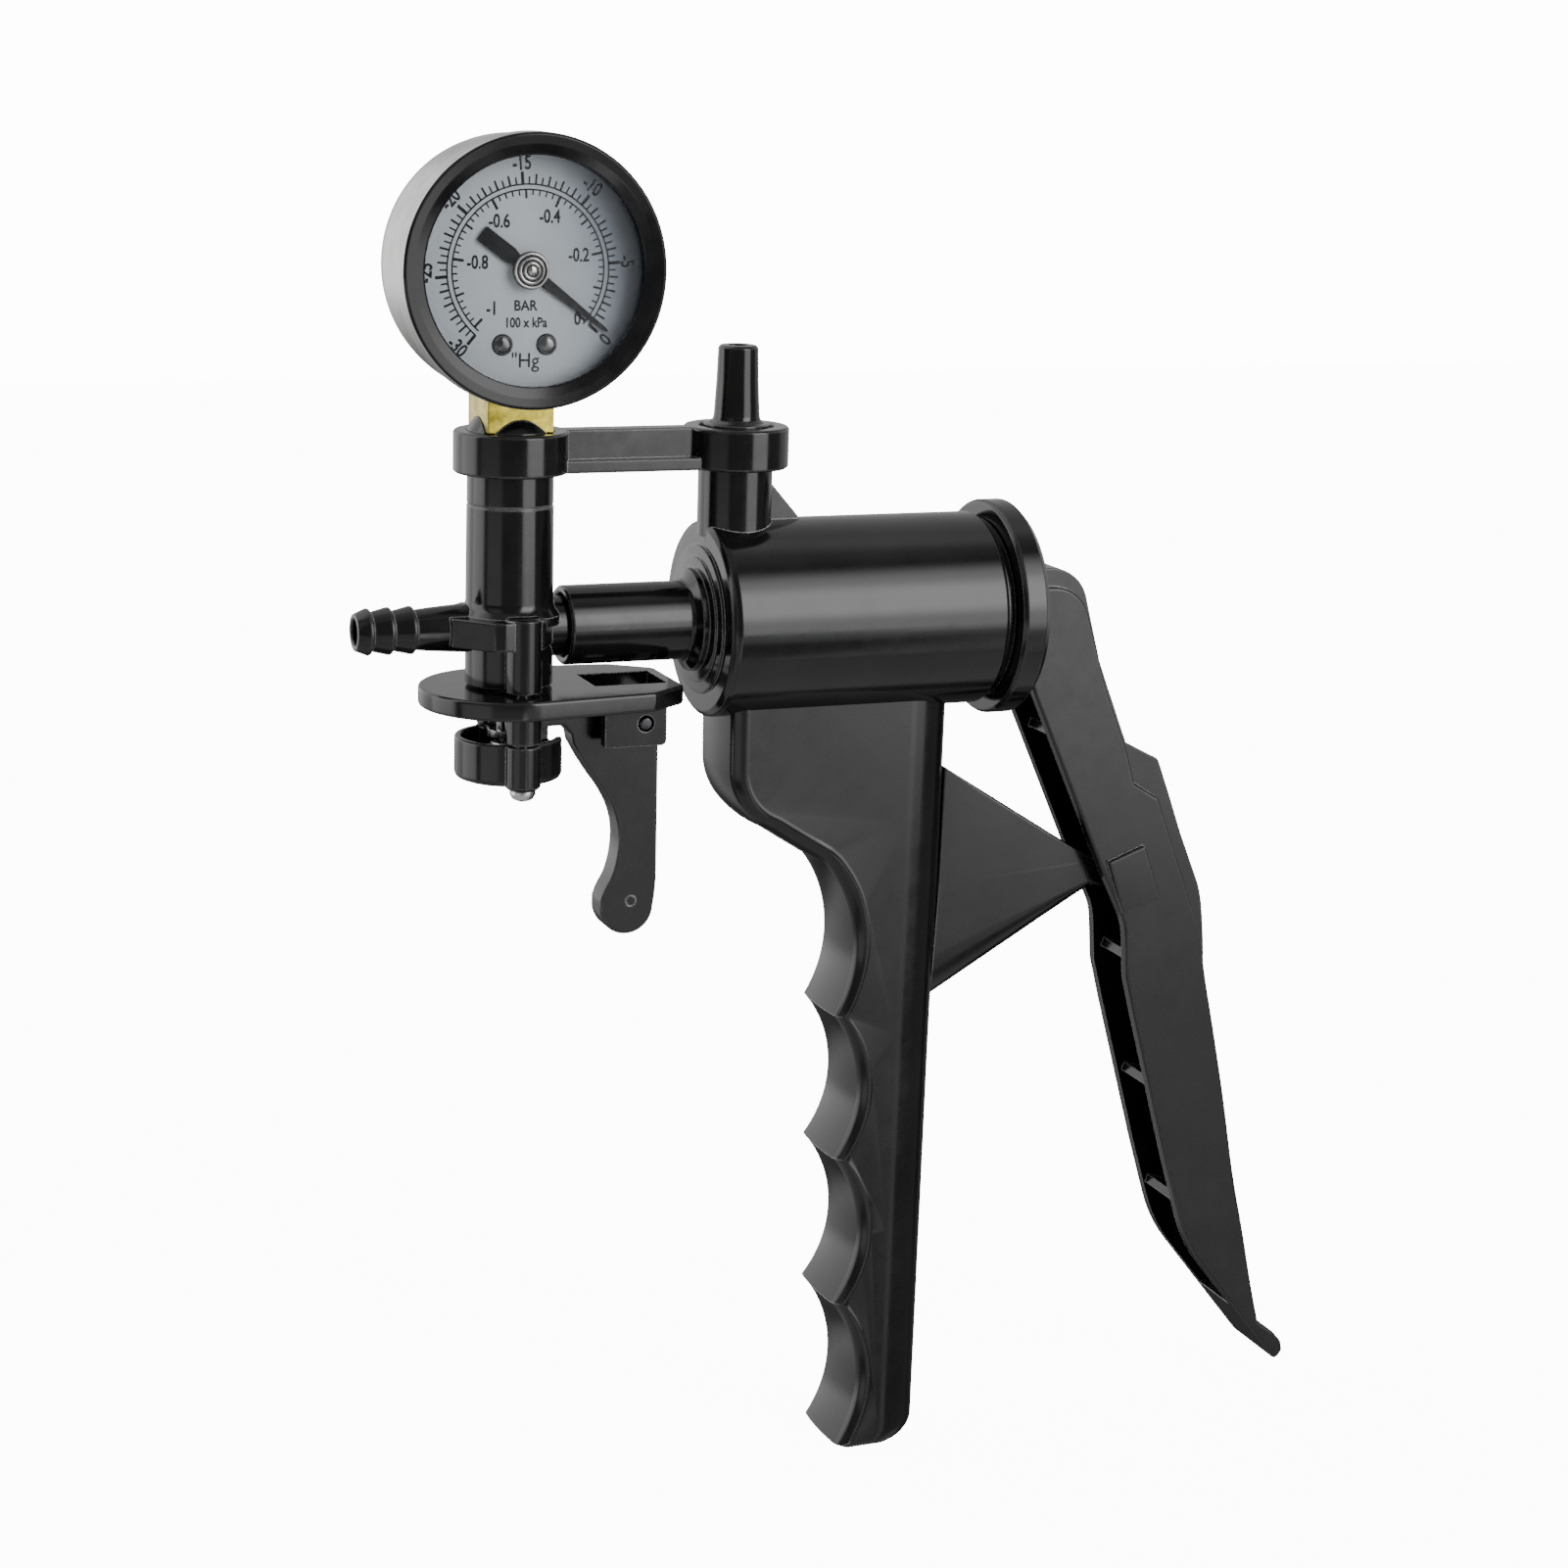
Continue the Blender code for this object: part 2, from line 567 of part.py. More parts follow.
paint(turned(
    "piston",
    [
        (2.2, 37.6), (4.4, 37.6), (4.4, 36.9), (12.7, 36.9), (12.7, 39.0), (10.4, 39.0), (10.4, 42.4), (12.7, 42.4), (12.7, 44.0),
        (8.6, 44.0), (8.6, 46.0), (2.2, 46.0),
    ],
    (0, 0, 0), "X", 24, closed=True,
), "black_plastic")
paint(turned(
    "piston_seal",
    [(10.7, 39.3), (12.6, 39.3), (13.05, 40.0), (13.05, 41.2), (12.6, 42.1), (10.7, 42.1)],
    (0, 0, 0), "X", 24, closed=True,
), "rubber")
paint(turned(
    "piston_screw", [(0, 36.1), (3.9, 36.1), (3.9, 37.3), (1.9, 37.3), (1.9, 38.1), (1.0, 38.1), (1.0, 44.5), (0, 44.5)],
    (0, 0, 0), "X", 16,
), "steel")
paint(wire("piston_spring", coil(9.9, 38.3, 5.5, 12), 0.75, (45.2, 0, 0), resolution=1), "steel")

# ---------------------------------------------------------------- squeeze lever
spine = (
    [(90.0, 4.1)]
    + arc(93.6, -3.1, 7.1, 90, 20, 5)
    + [(104.3, -13.4), (108.9, -24.5), (110.9, -31.0)]
    + rounded([(111.5, -32.3, 0), (115.8, -33.9, 1.2), (118.6, -41.0, 0)], 3)[1:]
    + [(121.9, -49.4), (125.5, -58.7), (127.5, -67.9), (129.7, -77.2), (132.7, -90.5), (135.8, -105.8), (138.7, -117.5), (141.0, -127.4), (143.1, -135.4)]
)
inner_edge = [(147.2, -143.7), (126.7, -118.3), (121.4, -101.3), (113.6, -74.2), (111.5, -66.5), (110.7, -56.6), (105.1, -45.5), (91.0, -14.7), (89.3, -10.0), (89.0, -4.0), (89.0, 3.1)]
plates = sheet("lever", [spine + [(146.4, -137.8), (148.3, -139.9), (148.7, -141.8)] + inner_edge], LEVER_HALF)
hollow = offset(spine, [-0.8 if z > -1.0 else -LEVER_WEB for x, z in spine])
# The channel is open towards the grip and closed at the tip.
channel = [(80.0, hollow[0][1])] + [p for p in hollow if p[1] > -134.0] + [(138.3, -131.5), (131.0, -133.5), (118.0, -121.0), (80.0, -60.0)]
# The back is a raised band between the side plates, with a step for the palm.
outer = (
    [(89.9, 7.2)]
    + arc(93.4, -0.3, 7.4, 90, 20, 5)
    + [(102.4, -5.1), (105.4, -13.8), (109.6, -24.0)]
    + rounded([(110.2, -25.3, 0), (116.0, -27.1, 1.6), (119.0, -34.6, 0)], 3)[1:]
    + [(121.4, -40.9), (123.8, -46.5), (126.0, -52.0), (127.3, -61.0), (127.9, -68.0), (130.1, -77.2), (133.0, -90.5), (136.1, -105.8), (139.0, -117.5), (141.3, -127.4), (143.2, -134.6)]
)
band = sheet("lever_band", [outer + [p for p in reversed(offset(spine, -0.6)) if p[1] > -132.0]], LEVER_HALF - 1.5, helper=True)
join(plates, band)
cut(plates, sheet("lever_channel", [channel], LEVER_HALF - LEVER_WALL, helper=True))
lean = math.radians(20.0)
for i, (x, z, deep) in enumerate(((103.5, -24.5, 7.5), (120.6, -66.0, 8.0), (126.2, -90.0, 8.0), (131.5, -112.0, 7.0))):
    join(plates, box("lever_rib_%d" % i, (x - deep, -LEVER_HALF + 1.0, z - 0.8), (x + 2.2, LEVER_HALF - 1.0, z + 0.8), turn=lean, about=(x, 0, z)))
for side in (-1, 1):
    low, high = sorted((side * (LEVER_HALF - 0.8), side * (LEVER_HALF + 0.9)))
    join(plates, box("lever_pad_%s" % ("front" if side < 0 else "rear"), (PIVOT[0] - 3.7, low, PIVOT[1] - 5.1), (PIVOT[0] + 3.7, high, PIVOT[1] + 5.1), turn=-lean, about=(PIVOT[0], 0, PIVOT[1])))
slot_lean = math.atan2(PIVOT[0] - ROD_PIN_X, -PIVOT[1])
slot_r = 2.2
slot = []
for reach, start in ((51.9, 0), (47.6, 180)):
    cx = PIVOT[0] - reach * math.sin(slot_lean)
    cz = PIVOT[1] + reach * math.cos(slot_lean)
    slot += arc(cx, cz, slot_r, start + math.degrees(slot_lean), start + 180 + math.degrees(slot_lean), 8)
cut(
    plates,
    rod("lever_pin_hole", 2.3, -7.2, 7.2, (PIVOT[0], 0, PIVOT[1]), "-Y", 20, helper=True),
    sheet("lever_slot", [slot], 6.6, helper=True),
)
pivot_at(paint(plates, "black_plastic"), PIVOT[0], 0, PIVOT[1])

# ---------------------------------------------------------------- trigger and its pin
blade = [
    (10.0, -17.6), (10.3, -19.2), (12.0, -22.2), (13.8, -24.9), (15.6, -27.4), (17.0, -29.9), (17.9, -32.4), (18.3, -35.0), (18.2, -37.6),
    (17.8, -40.0), (17.1, -42.2), (16.0, -44.2), (15.3, -46.0),
] + arc(19.9, -47.4, 4.6, 175, 345, 9) + [(24.9, -44.6), (25.0, -41.0), (24.9, -19.6), (24.3, -15.9)] + arc(*TRIGGER_PIN, 2.9, 0, 120, 5) + [(18.4, -13.3), (1.6, -13.3), (1.6, -16.1), (8.6, -16.1)]
trigger = sheet("trigger", [blade], 2.5)
join(trigger, box("trigger_fork_ends", (-2.5, -4.2, -16.1), (5.5, 4.2, -14.1)))
join(trigger, rod("trigger_hub", 2.9, -4.6, 4.6, (TRIGGER_PIN[0], 0, TRIGGER_PIN[1]), "-Y", 20, helper=True))
cut(
    trigger,
    rod("trigger_bore", 1.4, -8, 8, (TRIGGER_PIN[0], 0, TRIGGER_PIN[1]), "-Y", 16, helper=True),
    box("trigger_fork", (-4.0, -2.2, -18), (4.2, 2.2, -12)),
)
pivot_at(paint(trigger, "black_plastic"), TRIGGER_PIN[0], 0, TRIGGER_PIN[1])
paint(rod("trigger_pin", 1.1, -7.4, 7.4, (TRIGGER_PIN[0], 0, TRIGGER_PIN[1]), "-Y", 16), "steel")

# ---------------------------------------------------------------- gauge
G = (0, 0, GAUGE_Z)
case = turned(
    "gauge_case",
    [
        (0, -CASE_BACK + 1.0), (CASE_R - 9.0, -CASE_BACK + 1.0), (CASE_R - 5.8, -7.6), (CASE_R - 3.2, -5.6), (CASE_R - 1.6, -2.9), (CASE_R - 1.0, 0.0),
        (CASE_R - 1.0, -BEZEL_BACK - GAP), (CASE_R, -BEZEL_BACK - GAP), (CASE_R, 0.0), (CASE_R - 0.6, -3.2), (CASE_R - 2.4, -6.4), (CASE_R - 5.4, -8.7),
        (CASE_R - 9.0, -CASE_BACK), (0, -CASE_BACK),
    ],
    G, "-Y", SEG,
)
cut(case, box("case_notch", (-5.7, -5.7, GAUGE_Z - 30), (5.7, 5.7, GAUGE_Z - 14)))
paint(case, "black_paint")
paint(turned(
    "gauge_bezel",
    [
        (WINDOW_R, 12.0), (WINDOW_R + 0.1, 12.5), (WINDOW_R + 0.9, -BEZEL_FRONT), (GAUGE_R - 0.6, -BEZEL_FRONT), (GAUGE_R, -BEZEL_FRONT - 0.6),
        (GAUGE_R, -BEZEL_BACK + 0.6), (GAUGE_R - 0.5, -BEZEL_BACK), (CASE_R - 1.0, -BEZEL_BACK), (CASE_R - 1.0, 12.0),
    ],
    G, "-Y", SEG + 4, closed=True,
), "black_paint")
paint(rod("gauge_lens", CASE_R - 1.3, 11.0, 11.7, G, "-Y", SEG), "lens")
dial = rod("gauge_dial", CASE_R - 1.3, -DIAL_Y - 0.5, -DIAL_Y, G, "-Y", SEG)
cut(dial, rod("dial_hole", 1.2, 5, 12, G, "-Y", 16, helper=True))
for side, x in (("left", -3.7), ("right", 3.7)):
    at = (x, 0, GAUGE_Z - 11.4)
    cut(dial, rod("dial_screw_hole_" + side, 0.95, 5, 12, at, "-Y", 12, helper=True))
    paint(turned(
        "dial_screw_" + side,
        [(0, -DIAL_Y + 0.9), (0.8, -DIAL_Y + 0.8), (1.45, -DIAL_Y + 0.35), (1.45, -DIAL_Y + 0.12), (0.65, -DIAL_Y + 0.12), (0.65, -DIAL_Y - 3.2), (0, -DIAL_Y - 3.2)],
        at, "-Y", 12,
    ), "steel")
paint(dial, "dial")

stem = turned(
    "gauge_stem",
    [(1.2, 44.6), (4.6, 44.6), (4.6, 31.8), (4.9, 31.8), (4.9, 20.6), (1.2, 20.6)],
    (0, 0, 0), "Z", 24, closed=True,
)
square = box("stem_square", (-5.4, -5.4, 31.75), (5.4, 5.4, 42.0))
cone = turned("stem_chamfer", [(0, 31.7), (5.6, 31.7), (8.6, 34.4), (8.6, 43.0), (0, 43.0)], (0, 0, 0), "Z", 28, helper=True)
trimmed = square.modifiers.new("turned foot", "BOOLEAN")
trimmed.operation = "INTERSECT"
trimmed.solver = "EXACT"
trimmed.object = cone
join(stem, square)
cut(stem, rod("stem_bore", 1.2, 15, 44.0, (0, 0, 0), "Z", 12, helper=True))
paint(stem, "brass")

movement = sheet("movement_plate", [rounded([(-6.5, -13.6, 1), (6.5, -13.6, 1), (6.5, 6.5, 3), (-6.5, 6.5, 3)], 3)], 0.5, (0, -6.6, GAUGE_Z))
cut(
    movement,
    rod("movement_hole", 0.9, 0, 12, G, "-Y", 12, helper=True),
    rod("movement_screw_left", 0.95, 0, 12, (-3.7, 0, GAUGE_Z - 11.4), "-Y", 12, helper=True),
    rod("movement_screw_right", 0.95, 0, 12, (3.7, 0, GAUGE_Z - 11.4), "-Y", 12, helper=True),
)
join(movement, rod("sector_post", 0.7, 3.4, 6.5, (0, 0, SECTOR_PIVOT_Z), "-Y", 12, helper=True))
paint(movement, "brass")


def toothed(cx, cz, high, low, start, end, count):
    """A toothed edge: tips at radius high, roots at radius low."""
    points = []
    for k in range(count):
        for part, r in ((0.1, low), (0.35, high), (0.65, high), (0.9, low)):
            a = math.radians(start + (end - start) * (k + part) / count)
            points.append((cx + r * math.cos(a), cz + r * math.sin(a)))
    return points


sector = sheet(
    "sector_gear",
    [arc(0, SECTOR_PIVOT_Z, 1.7, 240, 330, 4) + toothed(0, SECTOR_PIVOT_Z, 7.1, 6.6, 84, 142, 12)],
    0.3, (0, -4.4, 0),
)
cut(sector, rod("sector_hole", 1.0, 2, 8, (0, 0, SECTOR_PIVOT_Z), "-Y", 12, helper=True))
pivot_at(paint(sector, "brass"), 0, 0, SECTOR_PIVOT_Z)
bourdon = [(14.6 * math.cos(math.radians(a)), 0, 14.6 * math.sin(math.radians(a))) for a in range(-62, 196, 12)]
paint(wire("bourdon_tube", bourdon, 1.5, (0, 1.6, GAUGE_Z)), "brass")

rest = math.radians(NEEDLE_REST)
ux, uz = math.cos(rest), math.sin(rest)


def along(distance, side):
    """A point of the needle's outline, measured along it and across it."""
    return (distance * ux - side * uz, distance * uz + side * ux)


pointer = sheet(
    "needle",
    [[along(-8.6, 1.15), along(-2.2, 1.15), along(-1.6, 1.5), along(1.4, 1.5), along(2.4, 0.95), along(14.6, 0.28), along(14.6, -0.28),
      along(2.4, -0.95), along(1.4, -1.5), along(-1.6, -1.5), along(-2.2, -1.15), along(-8.6, -1.15)]],
    0.15, (0, -9.0, GAUGE_Z),
)
cut(pointer, rod("needle_hole", 0.95, 5, 12, G, "-Y", 12, helper=True))
pivot_at(paint(pointer, "black_paint"), 0, 0, GAUGE_Z)
paint(turned("needle_hub", [(0, 10.7), (1.9, 10.7), (2.45, 10.3), (2.45, 9.45), (0, 9.45)], G, "-Y", 24), "steel")
arbor = rod("needle_arbor", 0.62, 2.5, 9.1, G, "-Y", 12)
join(arbor, sheet("pinion", [toothed(0, GAUGE_Z, 1.15, 0.8, 0, 360, 8)], 0.6, (0, -4.4, 0), helper=True))
paint(arbor, "brass")

# ---------------------------------------------------------------- shading
for thing in parts.objects:
    thing.data.shade_smooth()
    if hasattr(thing.data, "set_sharp_from_angle"):
        thing.data.set_sharp_from_angle(angle=math.radians(32))
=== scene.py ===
import math

import bmesh
import bpy
from mathutils import Matrix, Vector
from mathutils.geometry import tessellate_polygon


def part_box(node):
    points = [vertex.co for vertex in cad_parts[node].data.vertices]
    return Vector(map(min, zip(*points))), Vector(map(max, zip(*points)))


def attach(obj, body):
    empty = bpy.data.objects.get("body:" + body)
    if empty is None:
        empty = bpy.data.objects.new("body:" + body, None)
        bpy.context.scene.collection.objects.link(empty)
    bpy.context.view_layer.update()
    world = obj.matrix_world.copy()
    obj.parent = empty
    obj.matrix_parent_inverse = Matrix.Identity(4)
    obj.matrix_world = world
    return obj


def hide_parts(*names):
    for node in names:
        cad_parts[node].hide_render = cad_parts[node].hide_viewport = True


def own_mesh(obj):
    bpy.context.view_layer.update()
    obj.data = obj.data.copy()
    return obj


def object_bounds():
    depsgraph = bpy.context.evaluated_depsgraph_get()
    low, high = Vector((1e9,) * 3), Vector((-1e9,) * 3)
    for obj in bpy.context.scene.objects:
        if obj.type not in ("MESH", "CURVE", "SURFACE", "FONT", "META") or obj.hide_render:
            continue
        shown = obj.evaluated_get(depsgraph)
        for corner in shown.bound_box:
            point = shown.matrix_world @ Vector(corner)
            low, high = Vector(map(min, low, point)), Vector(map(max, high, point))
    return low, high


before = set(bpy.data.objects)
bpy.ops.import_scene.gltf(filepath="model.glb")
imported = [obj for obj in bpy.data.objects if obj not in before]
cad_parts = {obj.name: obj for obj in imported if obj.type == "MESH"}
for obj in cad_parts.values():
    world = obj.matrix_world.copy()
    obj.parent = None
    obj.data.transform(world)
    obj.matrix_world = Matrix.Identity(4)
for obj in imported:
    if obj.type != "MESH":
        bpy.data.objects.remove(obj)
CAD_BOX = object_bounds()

# ------------------------------------------------------------------ frame
# Layout numbers are millimetres in the side view: X = 0 on the gauge's axis, Z = 0 on the barrel's.
MM = 0.001
_lo, _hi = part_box("gauge_bezel")
OX = (_lo.x + _hi.x) / 2
_lo, _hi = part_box("rear_cap")
OZ = (_lo.z + _hi.z) / 2
FLOOR_Z = CAD_BOX[0].z


def at(x, y, z):
    return Vector((OX + x * MM, y * MM, OZ + z * MM))


# ------------------------------------------------------------------ mesh tools
def make(name, verts, faces):
    mesh = bpy.data.meshes.new(name)
    mesh.from_pydata([tuple(v) for v in verts], [], faces)
    work = bmesh.new()
    work.from_mesh(mesh)
    bmesh.ops.remove_doubles(work, verts=work.verts, dist=1e-7)
    bmesh.ops.recalc_face_normals(work, faces=work.faces)
    work.to_mesh(mesh)
    work.free()
    thing = bpy.data.objects.new(name, mesh)
    bpy.context.scene.collection.objects.link(thing)
    return thing


def corners(points, closed=False, steps=5):
    """A polyline of (u, v) or (u, v, radius) points, with the radii made into arcs."""
    out = []
    count = len(points)
    for i, point in enumerate(points):
        u, v = point[0], point[1]
        r = point[2] if len(point) > 2 else 0.0
        if r <= 0 or (not closed and i in (0, count - 1)):
            out.append((u, v))
            continue
        here = Vector((u, v))
        back = (Vector(points[i - 1][:2]) - here)
        ahead = (Vector(points[(i + 1) % count][:2]) - here)
        reach_most = 0.49 * min(back.length, ahead.length)
        back.normalize()
        ahead.normalize()
        half = back.angle(ahead) / 2
        if half > math.radians(88):
            out.append((u, v))
            continue
        reach = min(r / math.tan(half), reach_most)
        r = reach * math.tan(half)
        centre = here + (back + ahead).normalized() * (r / math.sin(half))
        a, b = here + back * reach - centre, here + ahead * reach - centre
        turn = a.angle_signed(b)
        for k in range(steps + 1):
            c, s = math.cos(-turn * k / steps), math.sin(-turn * k / steps)
            out.append((centre.x + c * a.x - s * a.y, centre.y + s * a.x + c * a.y))
    return out


def turned(name, profile, centre, axis="Z", sides=112, ring=False, steps=5):
    """Spins a profile of (radius, height[, corner radius]) about an axis."""
    pts = corners(profile, closed=ring, steps=steps)
    cx, cy, cz = centre
    verts, rings = [], []
    for r, h in pts:
        if r < 1e-6:
            ringlist = [len(verts)] * sides
            verts.append({"Z": (cx, cy, cz + h), "X": (cx + h, cy, cz), "-Y": (cx, cy - h, cz)}[axis])
        else:
            ringlist = list(range(len(verts), len(verts) + sides))
            for k in range(sides):
                c, s = r * math.cos(2 * math.pi * k / sides), r * math.sin(2 * math.pi * k / sides)
                verts.append({"Z": (cx + c, cy + s, cz + h), "X": (cx + h, cy + c, cz + s), "-Y": (cx + c, cy - h, cz + s)}[axis])
        rings.append(ringlist)
    faces = []
    pairs = list(zip(rings, rings[1:])) + ([(rings[-1], rings[0])] if ring else [])
    for a, b in pairs:
        for k in range(sides):
            j = (k + 1) % sides
            face = []
            for v in (a[k], a[j], b[j], b[k]):
                if v not in face:
                    face.append(v)
            if len(face) > 2:
                faces.append(face)
    return make(name, [at(*v) for v in verts], faces)


def prism(name, outline, low, high, rim=0.0, plane="XZ", segments=4, rim_low=None):
    """A flat outline given thickness, its rims rounded by rim."""
    count = len(outline)
    put = (lambda u, v, w: at(u, w, v)) if plane == "XZ" else (lambda u, v, w: at(u, v, w))
    verts = [put(u, v, low) for u, v in outline] + [put(u, v, high) for u, v in outline]
    faces = [list(range(count)), list(range(2 * count - 1, count - 1, -1))]
    for i in range(count):
        j = (i + 1) % count
        faces.append([i, j, j + count, i + count])
    thing = make(name, verts, faces)
    if rim > 0:
        work = bmesh.new()
        work.from_mesh(thing.data)
        axis = 1 if plane == "XZ" else 2
        levels = [put(0, 0, low)[axis], put(0, 0, high)[axis]]
        if rim_low is False:
            levels = levels[1:]
        edges = [
            e for e in work.edges
            if any(abs(e.verts[0].co[axis] - l) < 1e-7 and abs(e.verts[1].co[axis] - l) < 1e-7 for l in levels)
        ]
        bmesh.ops.bevel(work, geom=edges, offset=rim * MM, offset_type="OFFSET", segments=segments, profile=0.5, affect="EDGES", clamp_overlap=True)
        bmesh.ops.recalc_face_normals(work, faces=work.faces)
        work.to_mesh(thing.data)
        work.free()
    return thing


def smooth_line(points, per=6):
    """A centripetal Catmull-Rom curve through points."""
    pts = [Vector(p) for p in points]
    if len(pts) < 3:
        return [tuple(p) for p in pts]
    ends = [pts[0] * 2 - pts[1]] + pts + [pts[-1] * 2 - pts[-2]]
    out = []
    for i in range(1, len(ends) - 2):
        p0, p1, p2, p3 = ends[i - 1 : i + 3]
        t0, t1 = 0.0, math.sqrt((p1 - p0).length)
        t2 = t1 + math.sqrt((p2 - p1).length)
        t3 = t2 + math.sqrt((p3 - p2).length)
        for k in range(per):
            t = t1 + (t2 - t1) * k / per
            a1 = p0 * ((t1 - t) / (t1 - t0)) + p1 * ((t - t0) / (t1 - t0))
            a2 = p1 * ((t2 - t) / (t2 - t1)) + p2 * ((t - t1) / (t2 - t1))
            a3 = p2 * ((t3 - t) / (t3 - t2)) + p3 * ((t - t2) / (t3 - t2))
            b1 = a1 * ((t2 - t) / (t2 - t0)) + a2 * ((t - t0) / (t2 - t0))
            b2 = a2 * ((t3 - t) / (t3 - t1)) + a3 * ((t - t1) / (t3 - t1))
            out.append(tuple(b1 * ((t2 - t) / (t2 - t1)) + b2 * ((t - t1) / (t2 - t1))))
    out.append(tuple(pts[-1]))
    return out


def arc(cx, cz, r, start, end, steps):
    return [
        (cx + r * math.cos(math.radians(start + (end - start) * i / steps)), cz + r * math.sin(math.radians(start + (end - start) * i / steps)))
        for i in range(steps + 1)
    ]


def bulge(a, b, depth, steps):
    """Points from a to b on an arc that stands off the chord by depth, to its left."""
    a, b = Vector(a), Vector(b)
    chord = b - a
    half = chord.length / 2
    r = (half * half + depth * depth) / (2 * abs(depth))
    side = Vector((-chord.y, chord.x)).normalized() * (1 if depth > 0 else -1)
    centre = (a + b) / 2 - side * (r - abs(depth))
    sweep = math.asin(min(1.0, half / r))
    out = []
    for i in range(steps + 1):
        t = -sweep + 2 * sweep * i / steps
        out.append(tuple(centre + side * r * math.cos(t) + chord.normalized() * r * math.sin(t)))
    return out


def offset(points, distance):
    moved = []
    for i, point in enumerate(points):
        before = Vector(points[max(i - 1, 0)])
        after = Vector(points[min(i + 1, len(points) - 1)])
        along = (after - before).normalized()
        d = distance[i] if isinstance(distance, list) else distance
        moved.append((point[0] - along.y * d, point[1] + along.x * d))
    return moved


def block(name, low, high, turn=0.0, about=None, rim=0.0):
    x0, y0, z0 = low
    x1, y1, z1 = high
    thing = prism(name, [(x0, z0), (x1, z0), (x1, z1), (x0, z1)], y0, y1)
    if rim > 0:
        work = bmesh.new()
        work.from_mesh(thing.data)
        bmesh.ops.bevel(work, geom=work.edges[:], offset=rim * MM, segments=3, profile=0.5, affect="EDGES")
        work.to_mesh(thing.data)
        work.free()
    if turn:
        pivot = at(*about)
        thing.data.transform(Matrix.Translation(pivot) @ Matrix.Rotation(turn, 4, "Y") @ Matrix.Translation(-pivot))
    return thing


def combine(target, *steps):
    """Boolean steps, each ("+" or "-", object). The result's mesh replaces the target's."""
    for how, other in steps:
        step = target.modifiers.new("step", "BOOLEAN")
        step.operation = {"+": "UNION", "-": "DIFFERENCE", "&": "INTERSECT"}[how]
        step.solver = "EXACT"
        step.object = other
    bpy.context.view_layer.update()
    graph = bpy.context.evaluated_depsgraph_get()
    mesh = bpy.data.meshes.new_from_object(target.evaluated_get(graph))
    target.modifiers.clear()
    target.data = mesh
    for _, other in steps:
        bpy.data.objects.remove(other, do_unlink=True)
    work = bmesh.new()
    work.from_mesh(mesh)
    bmesh.ops.remove_doubles(work, verts=work.verts, dist=2e-6)
    bmesh.ops.dissolve_degenerate(work, edges=work.edges, dist=1e-6)
    work.to_mesh(mesh)
    work.free()
    return target


def joined(name, things):
    """Several separate shells as one mesh."""
    work = bmesh.new()
    for thing in things:
        work.from_mesh(thing.data)
        bpy.data.objects.remove(thing, do_unlink=True)
    mesh = bpy.data.meshes.new(name)
    work.to_mesh(mesh)
    work.free()
    whole = bpy.data.objects.new(name, mesh)
    bpy.context.scene.collection.objects.link(whole)
    return whole


def piece(thing, body, material, nodes=(), sharp=32, even=True):
    thing.data.materials.clear()
    thing.data.materials.append(material)
    thing.data.shade_smooth()
    thing.data.set_sharp_from_angle(angle=math.radians(sharp))
    if even:
        weigh = thing.modifiers.new("even normals", "WEIGHTED_NORMAL")
        weigh.keep_sharp = True
        weigh.weight = 80
    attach(thing, body)
    if nodes:
        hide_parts(*nodes)
    return thing


# ------------------------------------------------------------------ materials
def nodes_of(material):
    return material.node_tree.nodes, material.node_tree.links


def shader(name, color, roughness, metallic=0.0):
    material = bpy.data.materials.new(name)
    material.use_nodes = True
    nodes, links = nodes_of(material)
    bsdf = nodes["Principled BSDF"]
    bsdf.inputs["Base Color"].default_value = (*color, 1)
    bsdf.inputs["Roughness"].default_value = roughness
    bsdf.inputs["Metallic"].default_value = metallic
    return material, nodes, links, bsdf


def noise(nodes, links, coords, scale, detail=4.0, rough=0.55, stretch=None):
    """A noise texture in object space; scale is in features per metre."""
    source = coords.outputs["Object"]
    if stretch:
        mapping = nodes.new("ShaderNodeMapping")
        mapping.inputs["Scale"].default_value = stretch
        links.new(source, mapping.inputs["Vector"])
        source = mapping.outputs["Vector"]
    texture = nodes.new("ShaderNodeTexNoise")
    texture.inputs["Scale"].default_value = scale
    texture.inputs["Detail"].default_value = detail
    texture.inputs["Roughness"].default_value = rough
    links.new(source, texture.inputs["Vector"])
    return texture.outputs["Fac"]


def ramp(nodes, links, value, stops):
    node = nodes.new("ShaderNodeValToRGB")
    elements = node.color_ramp.elements
    while len(elements) < len(stops):
        elements.new(0.5)
    for element, (place, color) in zip(elements, stops):
        element.position = place
        element.color = (*color, 1) if len(color) == 3 else color
    links.new(value, node.inputs["Fac"])
    return node.outputs["Color"]


def remap(nodes, links, value, a, b, c, d, smooth=False):
    node = nodes.new("ShaderNodeMapRange")
    node.interpolation_type = "SMOOTHSTEP" if smooth else "LINEAR"
    for key, number in (("From Min", a), ("From Max", b), ("To Min", c), ("To Max", d)):
        node.inputs[key].default_value = number
    links.new(value, node.inputs["Value"])
    return node.outputs["Result"]


def maths(nodes, links, how, a, b=None, clamp=False):
    node = nodes.new("ShaderNodeMath")
    node.operation = how
    node.use_clamp = clamp
    for i, value in enumerate((a, b)):
        if value is None:
            continue
        if isinstance(value, (int, float)):
            node.inputs[i].default_value = value
        else:
            links.new(value, node.inputs[i])
    return node.outputs[0]


